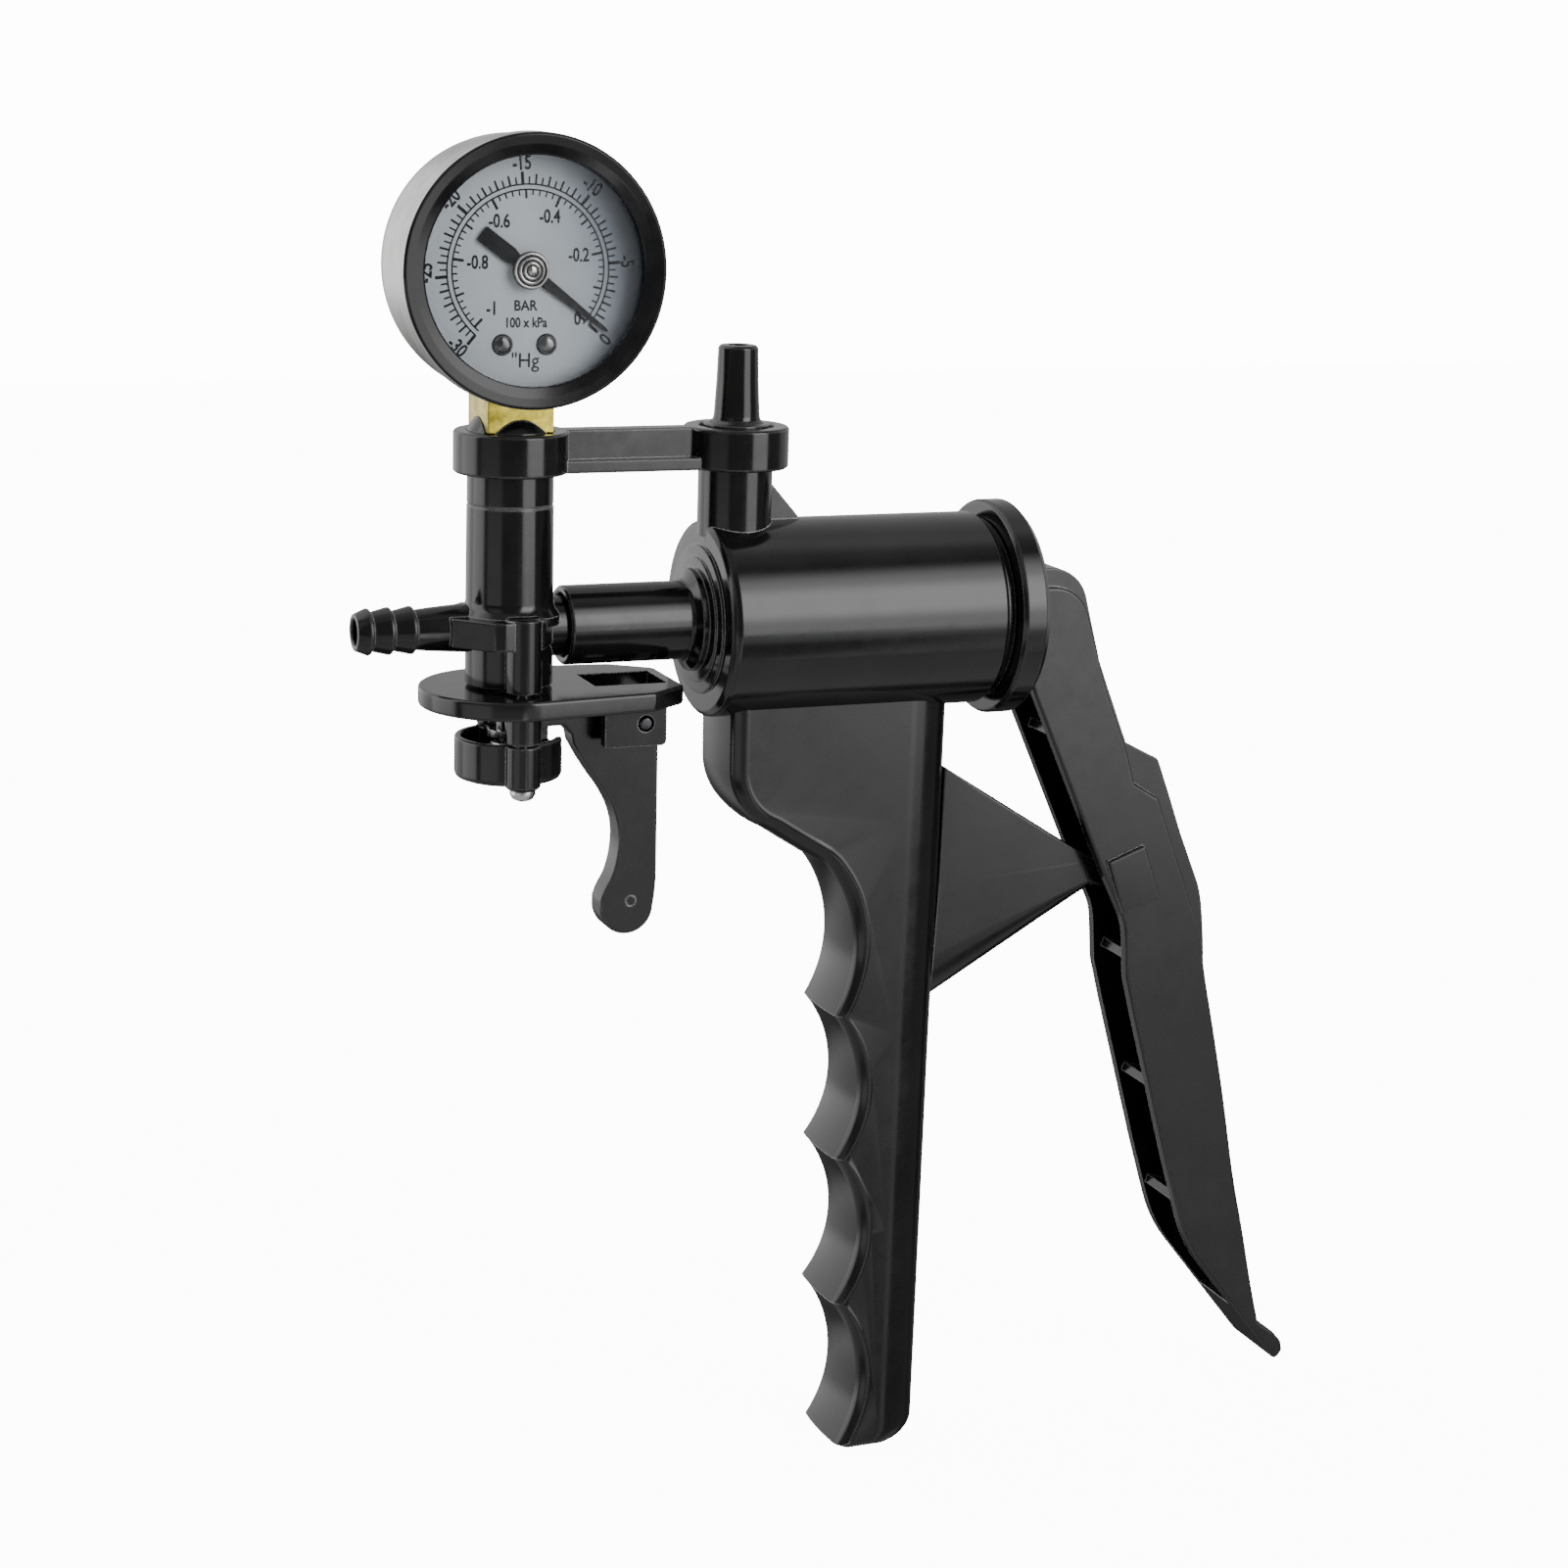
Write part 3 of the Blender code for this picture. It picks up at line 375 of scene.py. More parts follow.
def mix(nodes, links, factor, a, b):
    node = nodes.new("ShaderNodeMix")
    node.data_type = "RGBA"
    if isinstance(factor, (int, float)):
        node.inputs["Factor"].default_value = factor
    else:
        links.new(factor, node.inputs["Factor"])
    for key, value in (("A", a), ("B", b)):
        socket = [s for s in node.inputs if s.name == key and s.type == "RGBA"][0]
        if isinstance(value, tuple):
            socket.default_value = (*value, 1)
        else:
            links.new(value, socket)
    return [s for s in node.outputs if s.type == "RGBA"][0]


def bump(nodes, links, height, strength, distance, normal=None):
    node = nodes.new("ShaderNodeBump")
    node.inputs["Strength"].default_value = strength
    node.inputs["Distance"].default_value = distance
    links.new(height, node.inputs["Height"])
    if normal is not None:
        links.new(normal, node.inputs["Normal"])
    return node.outputs["Normal"]


def edge_amount(nodes, links, radius, gain):
    """0 on flat faces and near 1 at edges, from how far a rounded normal leans."""
    soft = nodes.new("ShaderNodeBevel")
    soft.samples = 4
    soft.inputs["Radius"].default_value = radius
    geometry = nodes.new("ShaderNodeNewGeometry")
    dot = nodes.new("ShaderNodeVectorMath")
    dot.operation = "DOT_PRODUCT"
    links.new(soft.outputs["Normal"], dot.inputs[0])
    links.new(geometry.outputs["Normal"], dot.inputs[1])
    return maths(nodes, links, "MULTIPLY", maths(nodes, links, "SUBTRACT", 1.0, dot.outputs["Value"]), gain, clamp=True), soft.outputs["Normal"]


def plastic(name, color=(0.0068, 0.0068, 0.0075), rough=(0.1, 0.17), grain=1.0, rounding=0.0003):
    """Glossy black ABS: a little colour drift, handling marks, a fine mould grain, and edges painted near white as a
    painted highlight.
    """
    material, nodes, links, bsdf = shader(name, color, rough[0])
    coords = nodes.new("ShaderNodeTexCoord")
    drift = noise(nodes, links, coords, 70, 3)
    smear = noise(nodes, links, coords, 240, 5, 0.65)
    fine = noise(nodes, links, coords, 5200, 2, 0.5)
    waves = noise(nodes, links, coords, 95, 2, 0.4)
    specks = nodes.new("ShaderNodeTexVoronoi")
    specks.inputs["Scale"].default_value = 260
    links.new(coords.outputs["Object"], specks.inputs["Vector"])
    dust = remap(nodes, links, specks.outputs["Distance"], 0.012, 0.03, 1.0, 0.0)
    edge, rounded_normal = edge_amount(nodes, links, rounding, 3.2)
    dark = tuple(c * 0.72 for c in color)
    light = tuple(c * 1.45 + 0.0006 for c in color)
    base = ramp(nodes, links, drift, [(0.32, dark), (0.68, light)])
    # painted highlight: edges are painted near white, standing in for the bright lines light draws along them
    base = mix(nodes, links, maths(nodes, links, "MULTIPLY", edge, 0.95), base, (0.78, 0.78, 0.79))
    base = mix(nodes, links, maths(nodes, links, "MULTIPLY", dust, 0.3), base, (0.11, 0.11, 0.11))
    links.new(base, bsdf.inputs["Base Color"])
    roughness = remap(nodes, links, smear, 0.3, 0.72, rough[0], rough[1], smooth=True)
    roughness = maths(nodes, links, "ADD", roughness, maths(nodes, links, "MULTIPLY", edge, 0.05), clamp=True)
    links.new(roughness, bsdf.inputs["Roughness"])
    normal = bump(nodes, links, waves, 0.05 * grain, 0.0002, rounded_normal)
    normal = bump(nodes, links, fine, 0.035 * grain, 0.00002, normal)
    links.new(normal, bsdf.inputs["Normal"])
    bsdf.inputs["IOR"].default_value = 1.5
    return material


def enamel(name, bare=None):
    """Gloss black enamel on pressed steel, with orange peel and rubbed spots. Bare: None, "all", or "rim" for a pale plated outer wall behind a black face."""
    material, nodes, links, bsdf = shader(name, (0.008, 0.008, 0.009), 0.12)
    coords = nodes.new("ShaderNodeTexCoord")
    peel = noise(nodes, links, coords, 900, 2, 0.4)
    rub = noise(nodes, links, coords, 160, 5, 0.6)
    edge, rounded_normal = edge_amount(nodes, links, 0.0002, 2.2)
    base = ramp(nodes, links, rub, [(0.35, (0.006, 0.006, 0.007)), (0.7, (0.013, 0.013, 0.014))])
    # painted highlight: edges are painted pale grey, standing in for the bright lines light draws along them
    base = mix(nodes, links, maths(nodes, links, "MULTIPLY", edge, 0.8), base, (0.3, 0.3, 0.305))
    gloss = remap(nodes, links, rub, 0.3, 0.75, 0.09, 0.2)
    if bare:
        plated = ramp(nodes, links, rub, [(0.3, (0.5, 0.5, 0.49)), (0.68, (0.74, 0.74, 0.73))])
        if bare == "all":
            outer = 1.0
            bsdf.inputs["Metallic"].default_value = 0.85
            base = plated
        else:
            split = nodes.new("ShaderNodeSeparateXYZ")
            links.new(coords.outputs["Object"], split.inputs["Vector"])
            u = maths(nodes, links, "SUBTRACT", split.outputs["X"], OX)
            v = maths(nodes, links, "SUBTRACT", split.outputs["Z"], OZ + GAUGE_Z * MM)
            reach = maths(nodes, links, "SQRT", maths(nodes, links, "ADD", maths(nodes, links, "MULTIPLY", u, u), maths(nodes, links, "MULTIPLY", v, v)))
            outer = remap(nodes, links, reach, 20.88 * MM, 20.97 * MM, 0.0, 1.0)
            links.new(maths(nodes, links, "MULTIPLY", outer, 0.85), bsdf.inputs["Metallic"])
            base = mix(nodes, links, outer, base, plated)
        gloss = maths(nodes, links, "ADD", gloss, maths(nodes, links, "MULTIPLY", outer, 0.14))
    links.new(base, bsdf.inputs["Base Color"])
    links.new(gloss, bsdf.inputs["Roughness"])
    links.new(bump(nodes, links, peel, 0.06, 0.00006, rounded_normal), bsdf.inputs["Normal"])
    if bare == "rim":
        bsdf.inputs["IOR"].default_value = 1.38
    else:
        bsdf.inputs["Coat Weight"].default_value = 0.35
        bsdf.inputs["Coat Roughness"].default_value = 0.04
    return material


def metal(name, color, worn, rough=(0.18, 0.34), rings=None, lines=2200, strength=0.12):
    """Bright metal with tool marks: rings about an axis, or a plain fine brush."""
    material, nodes, links, bsdf = shader(name, color, rough[0], 1.0)
    coords = nodes.new("ShaderNodeTexCoord")
    stain = noise(nodes, links, coords, 330, 5, 0.62)
    if rings is None:
        marks = noise(nodes, links, coords, lines, 3, 0.6)
    else:
        marks = noise(nodes, links, coords, lines, 3, 0.5, stretch=rings)
    edge, rounded_normal = edge_amount(nodes, links, 0.00018, 2.0)
    base = ramp(nodes, links, stain, [(0.34, worn), (0.62, color)])
    # painted highlight: edges are painted paler than the metal, standing in for the bright lines light draws along them
    base = mix(nodes, links, maths(nodes, links, "MULTIPLY", edge, 0.4), base, tuple(min(1.0, c * 1.25 + 0.05) for c in color))
    links.new(base, bsdf.inputs["Base Color"])
    links.new(remap(nodes, links, marks, 0.25, 0.75, rough[0], rough[1]), bsdf.inputs["Roughness"])
    links.new(bump(nodes, links, marks, strength, 0.00003, rounded_normal), bsdf.inputs["Normal"])
    return material


def rubber_material(name):
    material, nodes, links, bsdf = shader(name, (0.014, 0.014, 0.014), 0.6)
    coords = nodes.new("ShaderNodeTexCoord")
    bloom = noise(nodes, links, coords, 400, 5, 0.6)
    fine = noise(nodes, links, coords, 6000, 2)
    links.new(ramp(nodes, links, bloom, [(0.3, (0.009, 0.009, 0.009)), (0.75, (0.03, 0.03, 0.031))]), bsdf.inputs["Base Color"])
    links.new(remap(nodes, links, bloom, 0.3, 0.7, 0.5, 0.72), bsdf.inputs["Roughness"])
    links.new(bump(nodes, links, fine, 0.15, 0.00003), bsdf.inputs["Normal"])
    return material


def dial_material(name):
    """Pale blue-grey satin dial, with painted shade: its colour darkens towards its right-hand side."""
    material, nodes, links, bsdf = shader(name, (0.5, 0.6, 0.66), 0.42)
    coords = nodes.new("ShaderNodeTexCoord")
    split = nodes.new("ShaderNodeSeparateXYZ")
    links.new(coords.outputs["Object"], split.inputs["Vector"])
    u = maths(nodes, links, "SUBTRACT", split.outputs["X"], OX)
    v = maths(nodes, links, "SUBTRACT", split.outputs["Z"], OZ + GAUGE_Z * MM)
    # painted shade: the colour runs from pale on the left to nearly black at the right-hand edge, as if shaded there
    lean = maths(nodes, links, "ADD", maths(nodes, links, "MULTIPLY", u, 0.98), maths(nodes, links, "MULTIPLY", v, 0.2))
    cloud = noise(nodes, links, coords, 90, 3, 0.5)
    lean = maths(nodes, links, "ADD", lean, maths(nodes, links, "MULTIPLY", maths(nodes, links, "SUBTRACT", cloud, 0.5), 0.006))
    shade = remap(nodes, links, lean, -0.018, 0.018, 0.0, 1.0)
    base = ramp(nodes, links, shade, [(0.0, (0.72, 0.8, 0.87)), (0.5, (0.84, 0.9, 0.95)), (0.72, (0.62, 0.7, 0.78)), (0.85, (0.34, 0.39, 0.47)), (0.94, (0.19, 0.22, 0.29)), (1.0, (0.085, 0.1, 0.14))])
    grain = noise(nodes, links, coords, 2600, 3, 0.6)
    links.new(base, bsdf.inputs["Base Color"])
    links.new(remap(nodes, links, grain, 0.3, 0.7, 0.36, 0.5), bsdf.inputs["Roughness"])
    links.new(bump(nodes, links, grain, 0.04, 0.00002), bsdf.inputs["Normal"])
    return material


def ink_material(name, color=(0.006, 0.006, 0.007)):
    material, nodes, links, bsdf = shader(name, color, 0.5)
    bsdf.inputs["Specular IOR Level"].default_value = 0.12
    coords = nodes.new("ShaderNodeTexCoord")
    spread = noise(nodes, links, coords, 1500, 3, 0.6)
    links.new(ramp(nodes, links, spread, [(0.35, color), (0.8, tuple(c * 2.2 + 0.004 for c in color))]), bsdf.inputs["Base Color"])
    links.new(remap(nodes, links, spread, 0.3, 0.7, 0.42, 0.6), bsdf.inputs["Roughness"])
    return material


def lens_material(name):
    material, nodes, links, bsdf = shader(name, (0.02, 0.03, 0.04), 0.03)
    coords = nodes.new("ShaderNodeTexCoord")
    haze = noise(nodes, links, coords, 120, 4, 0.6)
    links.new(remap(nodes, links, haze, 0.3, 0.8, 0.02, 0.09), bsdf.inputs["Roughness"])
    bsdf.inputs["Alpha"].default_value = 0.14
    bsdf.inputs["IOR"].default_value = 1.58
    return material


GAUGE_Z = 57.3
PLASTIC = plastic("moulded_plastic")
PLASTIC_GRIP = plastic("moulded_plastic_grip", rough=(0.14, 0.22), grain=1.1)
ENAMEL = enamel("gauge_enamel")
CASE_GREY = enamel("gauge_enamel_case", "all")
BEZEL = enamel("gauge_enamel_bezel", "rim")
NEEDLE_BLACK = ink_material("gauge_enamel_flat", (0.005, 0.005, 0.0055))
BRASS = metal("gauge_brass", (0.66, 0.55, 0.08), (0.22, 0.18, 0.02), rings=(0.12, 0.12, 1.0), lines=3200, rough=(0.12, 0.28), strength=0.2)
BRASS_PLAIN = metal("gauge_brass_plain", (0.72, 0.55, 0.25), (0.5, 0.36, 0.14))
STEEL = metal("plated_steel", (0.62, 0.62, 0.63), (0.42, 0.42, 0.43))
SCREW_DARK = metal("plated_steel_screw", (0.3, 0.3, 0.31), (0.09, 0.09, 0.09), rough=(0.1, 0.22), strength=0.1)
STEEL_BRIGHT = metal("plated_steel_bright", (0.78, 0.78, 0.79), (0.55, 0.55, 0.56), rough=(0.08, 0.2), strength=0.06)
STEEL_DARK = metal("plated_steel_dark", (0.09, 0.09, 0.095), (0.04, 0.04, 0.04))
HUB = metal("plated_steel_hub", (0.8, 0.79, 0.77), (0.55, 0.54, 0.52), rough=(0.14, 0.3), strength=0.08)
RUBBER = rubber_material("seal_rubber")
DIAL = dial_material("dial_face")
INK_AND_PAINTED_SHADE = ink_material("dial_ink_and_painted_shade")
LENS = lens_material("lens_clear")


# ------------------------------------------------------------------ inlet T-body
tee = turned(
    "inlet_t_body",
    [
        (0, 20.0), (5.0, 20.0), (5.05, 31.0, 0.1), (5.25, 31.4), (6.55, 31.4, 0.1), (6.85, 31.1, 0.3), (6.88, 20.25, 0.1), (6.74, 20.1, 0.05),
        (6.74, 19.9, 0.05), (6.92, 19.75, 0.1), (7.0, 4.0, 2.0), (8.3, 2.5), (8.3, 1.0), (7.0, 1.0), (7.0, -8.75, 0.15), (6.75, -9.0, 0.1),
        (4.75, -9.0, 0.1), (4.6, -8.8), (4.6, -4.6), (0, -4.6),
    ],
    (0, 0, 0),
)
crest = []
for x, r, root in ((-23.4, 3.75, 3.13), (-20.0, 3.8, 3.16), (-16.4, 3.85, 3.2)):
    crest += [(r, x, 0.2), (r - 0.06, x + 0.3, 0.16), (root, x + 0.62, 0.12)]
hose_barb = turned(
    "inlet_barb",
    [(0, -8.0), (2.1, -8.0), (2.1, -25.15, 0.1), (2.3, -25.4, 0.1), (2.95, -25.4, 0.15)] + crest
    + [(3.5, -12.9, 3.0), (3.78, -9.2, 1.0), (3.86, -7.6), (3.86, -3.2), (0, -3.2)],
    (0, 0, 0.3),
    "X",
    sides=96,
)
spigot = turned("inlet_spigot", [(0, -3.0), (4.85, -3.0), (4.85, 15.9), (3.9, 15.9), (3.9, 17.7), (4.85, 17.7), (4.85, 19.5, 0.4), (0, 19.5)], (0, 0, 0), "X", sides=64)
flange = prism(
    "inlet_flange",
    corners([(-10.7, -4.3, 0.5), (-5.3, -9.9, 0.5), (-3.6, -10.2, 0.6), (3, -9.6, 1.5), (8.4, 0, 2), (3, 9.6, 1.5), (-3.6, 10.2, 0.6), (-5.3, 9.9, 0.5), (-10.7, 4.3, 0.5)], closed=True, steps=6),
    -2.0, 2.6, rim=0.3, plane="XY", segments=4,
)
posts = [turned("inlet_post", [(0, 3.1), (2.35, 3.1, 0.1), (2.9, 2.75, 0.25), (2.9, -8.8, 0.1), (2.7, -9.0), (0, -9.0)], (0, y, 0), sides=56) for y in (-8, 8)]
nose = turned("inlet_nose", [(5.2, 31.2), (5.2, 33.8), (5.45, 33.95, 0.08), (5.62, 33.8, 0.08), (6.95, 31.75, 0.3), (6.95, 31.2)], (0, 0, 0), ring=True)
nose_square = block("inlet_nose_square", (-5.5, -5.5, 31.5), (5.5, 5.5, 36.0))
combine(nose, ("-", nose_square))
combine(tee, ("+", flange), ("+", posts[0]), ("+", posts[1]), ("+", spigot), ("+", hose_barb), ("+", nose))
bores = [turned("inlet_screw_hole", [(0, -12), (1.27, -12), (1.27, -2.2), (0, -2.2)], (0, y, 0), sides=32) for y in (-8, 8)]
combine(tee, ("-", bores[0]), ("-", bores[1]))
piece(tee, "pump_body", PLASTIC, ["t_body"], sharp=28)

# ------------------------------------------------------------------ hinge plate
plate = prism(
    "hinge_plate_body",
    arc(0, 0, 14.5, 84, 276, 88) + corners([(10.0, -14.2, 0), (21, -12.2, 2), (27.4, -7.4, 2), (27.4, 7.4, 2), (21, 12.2, 2), (10.0, 14.2, 0)], steps=7)[1:-1],
    -12.4, -9.3, rim=0.5, plane="XY", segments=4,
)
plate_posts = [turned("plate_post", [(0, -11.5), (3.5, -11.5), (3.5, -12.4), (2.9, -13.0, 0.5), (2.9, -17.0, 0.1), (2.75, -17.2), (0, -17.2)], (0, y, 0), sides=56) for y in (-8, 8)]
lugs = [
    prism("plate_lug", corners([(14.0, -11.0), (14.0, -19.2, 0.5), (24.6, -19.2, 0.9), (24.6, -11.0)], closed=True, steps=5), y - 1.1, y + 1.1, rim=0.22, segments=3)
    for y in (-6.1, 6.1)
]
window = block("plate_window", (13.0, -4.9, -20.0), (25.4, 4.9, -6.0))
centre_bore = turned("plate_bore", [(0, -14), (4.9, -14), (4.9, -8), (0, -8)], (0, 0, 0), sides=72)
pin_hole = turned("plate_pin_hole", [(0, -8), (1.4, -8), (1.4, 8), (0, 8)], (21.0, 0, -15.4), "-Y", sides=40)
combine(plate, ("+", plate_posts[0]), ("+", plate_posts[1]), ("+", lugs[0]), ("+", lugs[1]), ("-", window), ("-", centre_bore), ("-", pin_hole))
bores = [turned("plate_screw_hole", [(0, -20), (1.27, -20), (1.27, -7), (0, -7)], (0, y, 0), sides=32) for y in (-8, 8)]
combine(plate, ("-", bores[0]), ("-", bores[1]))
piece(plate, "pump_body", PLASTIC, ["hinge_plate"], sharp=28)

# ------------------------------------------------------------------ relief valve cup and its screws
cup = turned(
    "relief_cup",
    [(0, -24.4), (7.6, -24.4, 0.1), (8.4, -24.1, 0.5), (8.67, -23.5, 0.3), (8.67, -17.75, 0.15), (8.45, -17.5, 0.1), (7.8, -17.5, 0.1), (7.57, -17.75, 0.15), (7.57, -23.0, 0.6), (0, -23.0)],
    (0, 0, 0),
)
ears = [turned("cup_ear", [(0, -17.56), (2.75, -17.56, 0.05), (2.9, -17.72, 0.1), (2.9, -24.2, 0.2), (2.5, -24.6, 0.2), (0, -24.6)], (0, y, 0), sides=56) for y in (-8, 8)]
notch = block("cup_notch", (6.0, -3.6, -19.6), (12.0, 3.6, -15.0), rim=0.3)
bores = [turned("cup_screw_hole", [(0, -26), (1.6, -26), (1.6, -15), (0, -15)], (0, y, 0), sides=32) for y in (-8, 8)]
combine(cup, ("+", ears[0]), ("+", ears[1]), ("-", notch), ("-", bores[0]), ("-", bores[1]))
piece(cup, "pump_body", PLASTIC, ["valve_cup"], sharp=28)

for y, label in ((-8, "front"), (8, "rear")):
    screw = turned(
        "long_screw_" + label,
        [(0, -2.4), (0.9, -2.4), (1.15, -2.9), (1.15, -24.72), (2.0, -24.72, 0.05), (2.1, -24.9, 0.1), (2.1, -25.5, 0.3), (1.65, -26.25, 0.4), (0.8, -26.62, 0.4), (0, -26.7)],
        (0, y, 0),
        sides=56,
    )
    cross = [block("screw_cross", (-1.1, y - 0.2, -27.0), (1.1, y + 0.2, -26.05), rim=0.04), block("screw_cross", (-0.2, y - 1.1, -27.0), (0.2, y + 1.1, -26.05), rim=0.04)]
    combine(screw, ("-", cross[0]), ("-", cross[1]))
    piece(screw, "pump_body", STEEL, ["cup_screw_" + label])

# ------------------------------------------------------------------ bridge strap
strap = turned("bridge_strap_body", [(6.96, 25.0), (8.75, 25.0, 0.1), (9.1, 25.3, 0.3), (9.1, 31.35, 0.3), (8.75, 31.7, 0.1), (7.1, 31.7, 0.1), (6.96, 31.55)], (0, 0, 0), ring=True)
right_eye = turned("strap_right_eye", [(6.12, 25.0), (8.25, 25.0, 0.1), (8.6, 25.3, 0.3), (8.6, 31.35, 0.3), (8.25, 31.7, 0.1), (6.3, 31.7, 0.1), (6.12, 31.55)], (38.1, 0, 0), ring=True)
web = block("strap_web", (8.0, -1.9, 25.02), (30.6, 1.9, 31.68), rim=0.3)
lip = block("strap_lip", (7.6, -4.2, 25.02), (31.0, 4.2, 27.0), rim=0.28)
combine(strap, ("+", right_eye), ("+", web), ("+", lip))
piece(strap, "pump_body", PLASTIC, ["bridge_strap"], sharp=28)

# ------------------------------------------------------------------ barrel with its neck and port
barrel = turned(
    "pump_barrel",
    [
        (5.15, 8.9, 0.1), (5.4, 8.6, 0.1), (6.1, 8.6, 0.1), (6.43, 8.95, 0.3), (6.43, 29.4, 0.8), (8.4, 30.2, 0.15), (8.4, 31.25, 0.1), (10.3, 31.35, 0.15),
        (10.3, 31.75, 0.05), (12.2, 31.85, 0.15), (12.2, 32.35, 0.05), (15.2, 32.4, 0.4), (16.0, 33.0, 0.6), (16.17, 33.9, 0.6), (16.17, 80.6, 0.5),
        (15.75, 81.2, 0.2), (15.1, 81.2), (15.1, 82.6), (13.2, 82.6), (13.2, 35.6), (3.2, 35.6), (3.2, 31.5), (1.8, 31.5), (1.8, 23.0), (5.15, 23.0),
    ],
    (0, 0, 0),
    "X",
    sides=176,
    ring=True,
)
port = turned("barrel_port", [(0, 13.8), (6.06, 13.8), (6.06, 31.0, 0.15), (5.85, 31.2), (0, 31.2)], (38.1, 0, 0), sides=96)
port_gusset = prism("barrel_gusset", [(43.1, 14.5), (49.7, 14.5), (49.7, 15.9), (44.1, 22.3), (43.1, 22.3)], -0.8, 0.8, rim=0.25)
port_bore = turned("barrel_port_bore", [(0, 10), (1.6, 10), (1.6, 19.5), (4.3, 19.5), (4.3, 33), (0, 33)], (38.1, 0, 0), sides=72)
combine(barrel, ("+", port), ("+", port_gusset), ("-", port_bore))
piece(barrel, "pump_body", PLASTIC, ["barrel"], sharp=28)

exhaust = turned(
    "exhaust_nipple",
    [
        (1.7, 44.4, 0.1), (1.9, 44.6, 0.1), (2.85, 44.6, 0.1), (3.25, 44.2, 0.3), (3.42, 39.0, 8), (3.75, 33.2, 0.5), (3.95, 32.6, 0.5), (4.6, 32.1, 0.2), (5.25, 32.05, 0.1), (5.4, 31.9, 0.1), (5.4, 31.5),
        (4.0, 31.5), (4.0, 23.2), (1.7, 23.2),
    ],
    (38.1, 0, 0),
    sides=96,
    ring=True,
)
piece(exhaust, "pump_body", PLASTIC, ["exhaust_spigot"], sharp=28)

# ------------------------------------------------------------------ rear cap and the rod's bush
cap = turned(
    "barrel_cap",
    [
        (5.6, 87.9, 0.1), (5.8, 88.1, 0.1), (16.9, 88.1, 0.25), (18.1, 86.9, 0.35), (18.1, 83.5, 0.5), (17.6, 82.9, 0.2), (12.8, 82.9), (12.8, 78.0), (11.0, 78.0),
        (11.0, 84.6), (5.6, 84.6),
    ],
    (0, 0, 0),
    "X",
    sides=176,
    ring=True,
)
piece(cap, "pump_body", PLASTIC, ["rear_cap"], sharp=28)
bush = turned(
    "rod_bush_ring",
    [(3.4, 82.8), (7.4, 82.8), (7.4, 84.3), (5.2, 84.3), (5.2, 88.5, 0.15), (5.0, 88.7), (3.6, 88.7, 0.1), (3.4, 88.5, 0.1)],
    (0, 0, 0),
    "X",
    sides=72,
    ring=True,
)
piece(bush, "pump_body", PLASTIC, ["rod_bush"], sharp=28)

# ------------------------------------------------------------------ grip: stacked outlines, from one side face through the middle to the other
BARREL_R = 16.17
cusps = [(55.5, -68.2), (56.2, -93.9), (56.8, -120.5), (58.4, -147.4)]
front = [(35.4, -16.6), (35.45, -20.6), (35.5, -24.6)] + bulge((35.5, -24.6), (43.0, -35.2), -1.9, 10)[1:]
front += [(47.2, -37.9), (51.0, -40.3), (52.4, -41.1)]
front += bulge((53.4, -42.0), cusps[0], 4.3, 22)
for low_end, high_end, depth in zip(cusps, cusps[1:], (4.6, 4.9, 4.6)):
    front += bulge(low_end, high_end, depth, 22)[1:]
rear = [(76.0, -16.6), (75.85, -35.0), (75.4, -72.0), (75.15, -108.0)] + [(x, z) for x, z in arc(71.1, -144.4, 3.8, 0, -90, 8)] + [(66.0, -148.2), (61.0, -148.2)]


def inward(points, i):
    before = Vector(points[max(i - 1, 0)])
    after = Vector(points[min(i + 1, len(points) - 1)])
    along = (after - before).normalized()
    return Vector((-along.y, along.x))


def grip_level(t):
    s = max(0.0, (t - 6.3) / 1.97)
    front_in = 0.35 * (min(t, 6.3) / 6.3) ** 2 + 1.7 * (1 - max(0.0, 1 - s ** 1.6) ** (1 / 1.6))
    s = max(0.0, (t - 2.3) / 5.97)
    rear_in = 8.5 * (1 - math.sqrt(max(0.0, 1 - s * s)))
    s = max(0.0, (t - 7.07) / 1.2)
    low_in = 1.2 * (1 - math.sqrt(max(0.0, 1 - s * s)))
    top = -math.sqrt(BARREL_R**2 - t * t) + 0.5
    outline = []
    for i, (x, z) in enumerate(front):
        blend_up = min(1.0, max(0.0, (z + 62.0) / 14.0))
        normal = inward(front, i)
        way = Vector((1.0, 0.0)).lerp(normal if normal.x > 0 else -normal, blend_up)
        reach = front_in * (1 + 0.35 * blend_up)
        x, z = x + way.x * reach, z + way.y * reach
        if i == 0:
            z = top
        outline.append((x, max(z, -148.2 + low_in)))
    for i, (x, z) in enumerate(reversed(rear)):
        x = max(x - rear_in * min(1.0, max(0.0, (x - 61.0) / 6.0)), 60.0)
        if z > -17.0:
            z = top
        outline.append((x, max(z, -148.2 + low_in)))
    return outline


levels = [0, 1.2, 2.3, 3.0, 3.8, 4.5, 5.1, 5.7, 6.1, 6.3, 6.6, 6.9, 7.2, 7.45, 7.65, 7.83, 7.97, 8.08, 8.17, 8.23, 8.27]
ys = [-t for t in reversed(levels[1:])] + levels
rows = [(y, grip_level(abs(y)), 0.0) for y in ys]
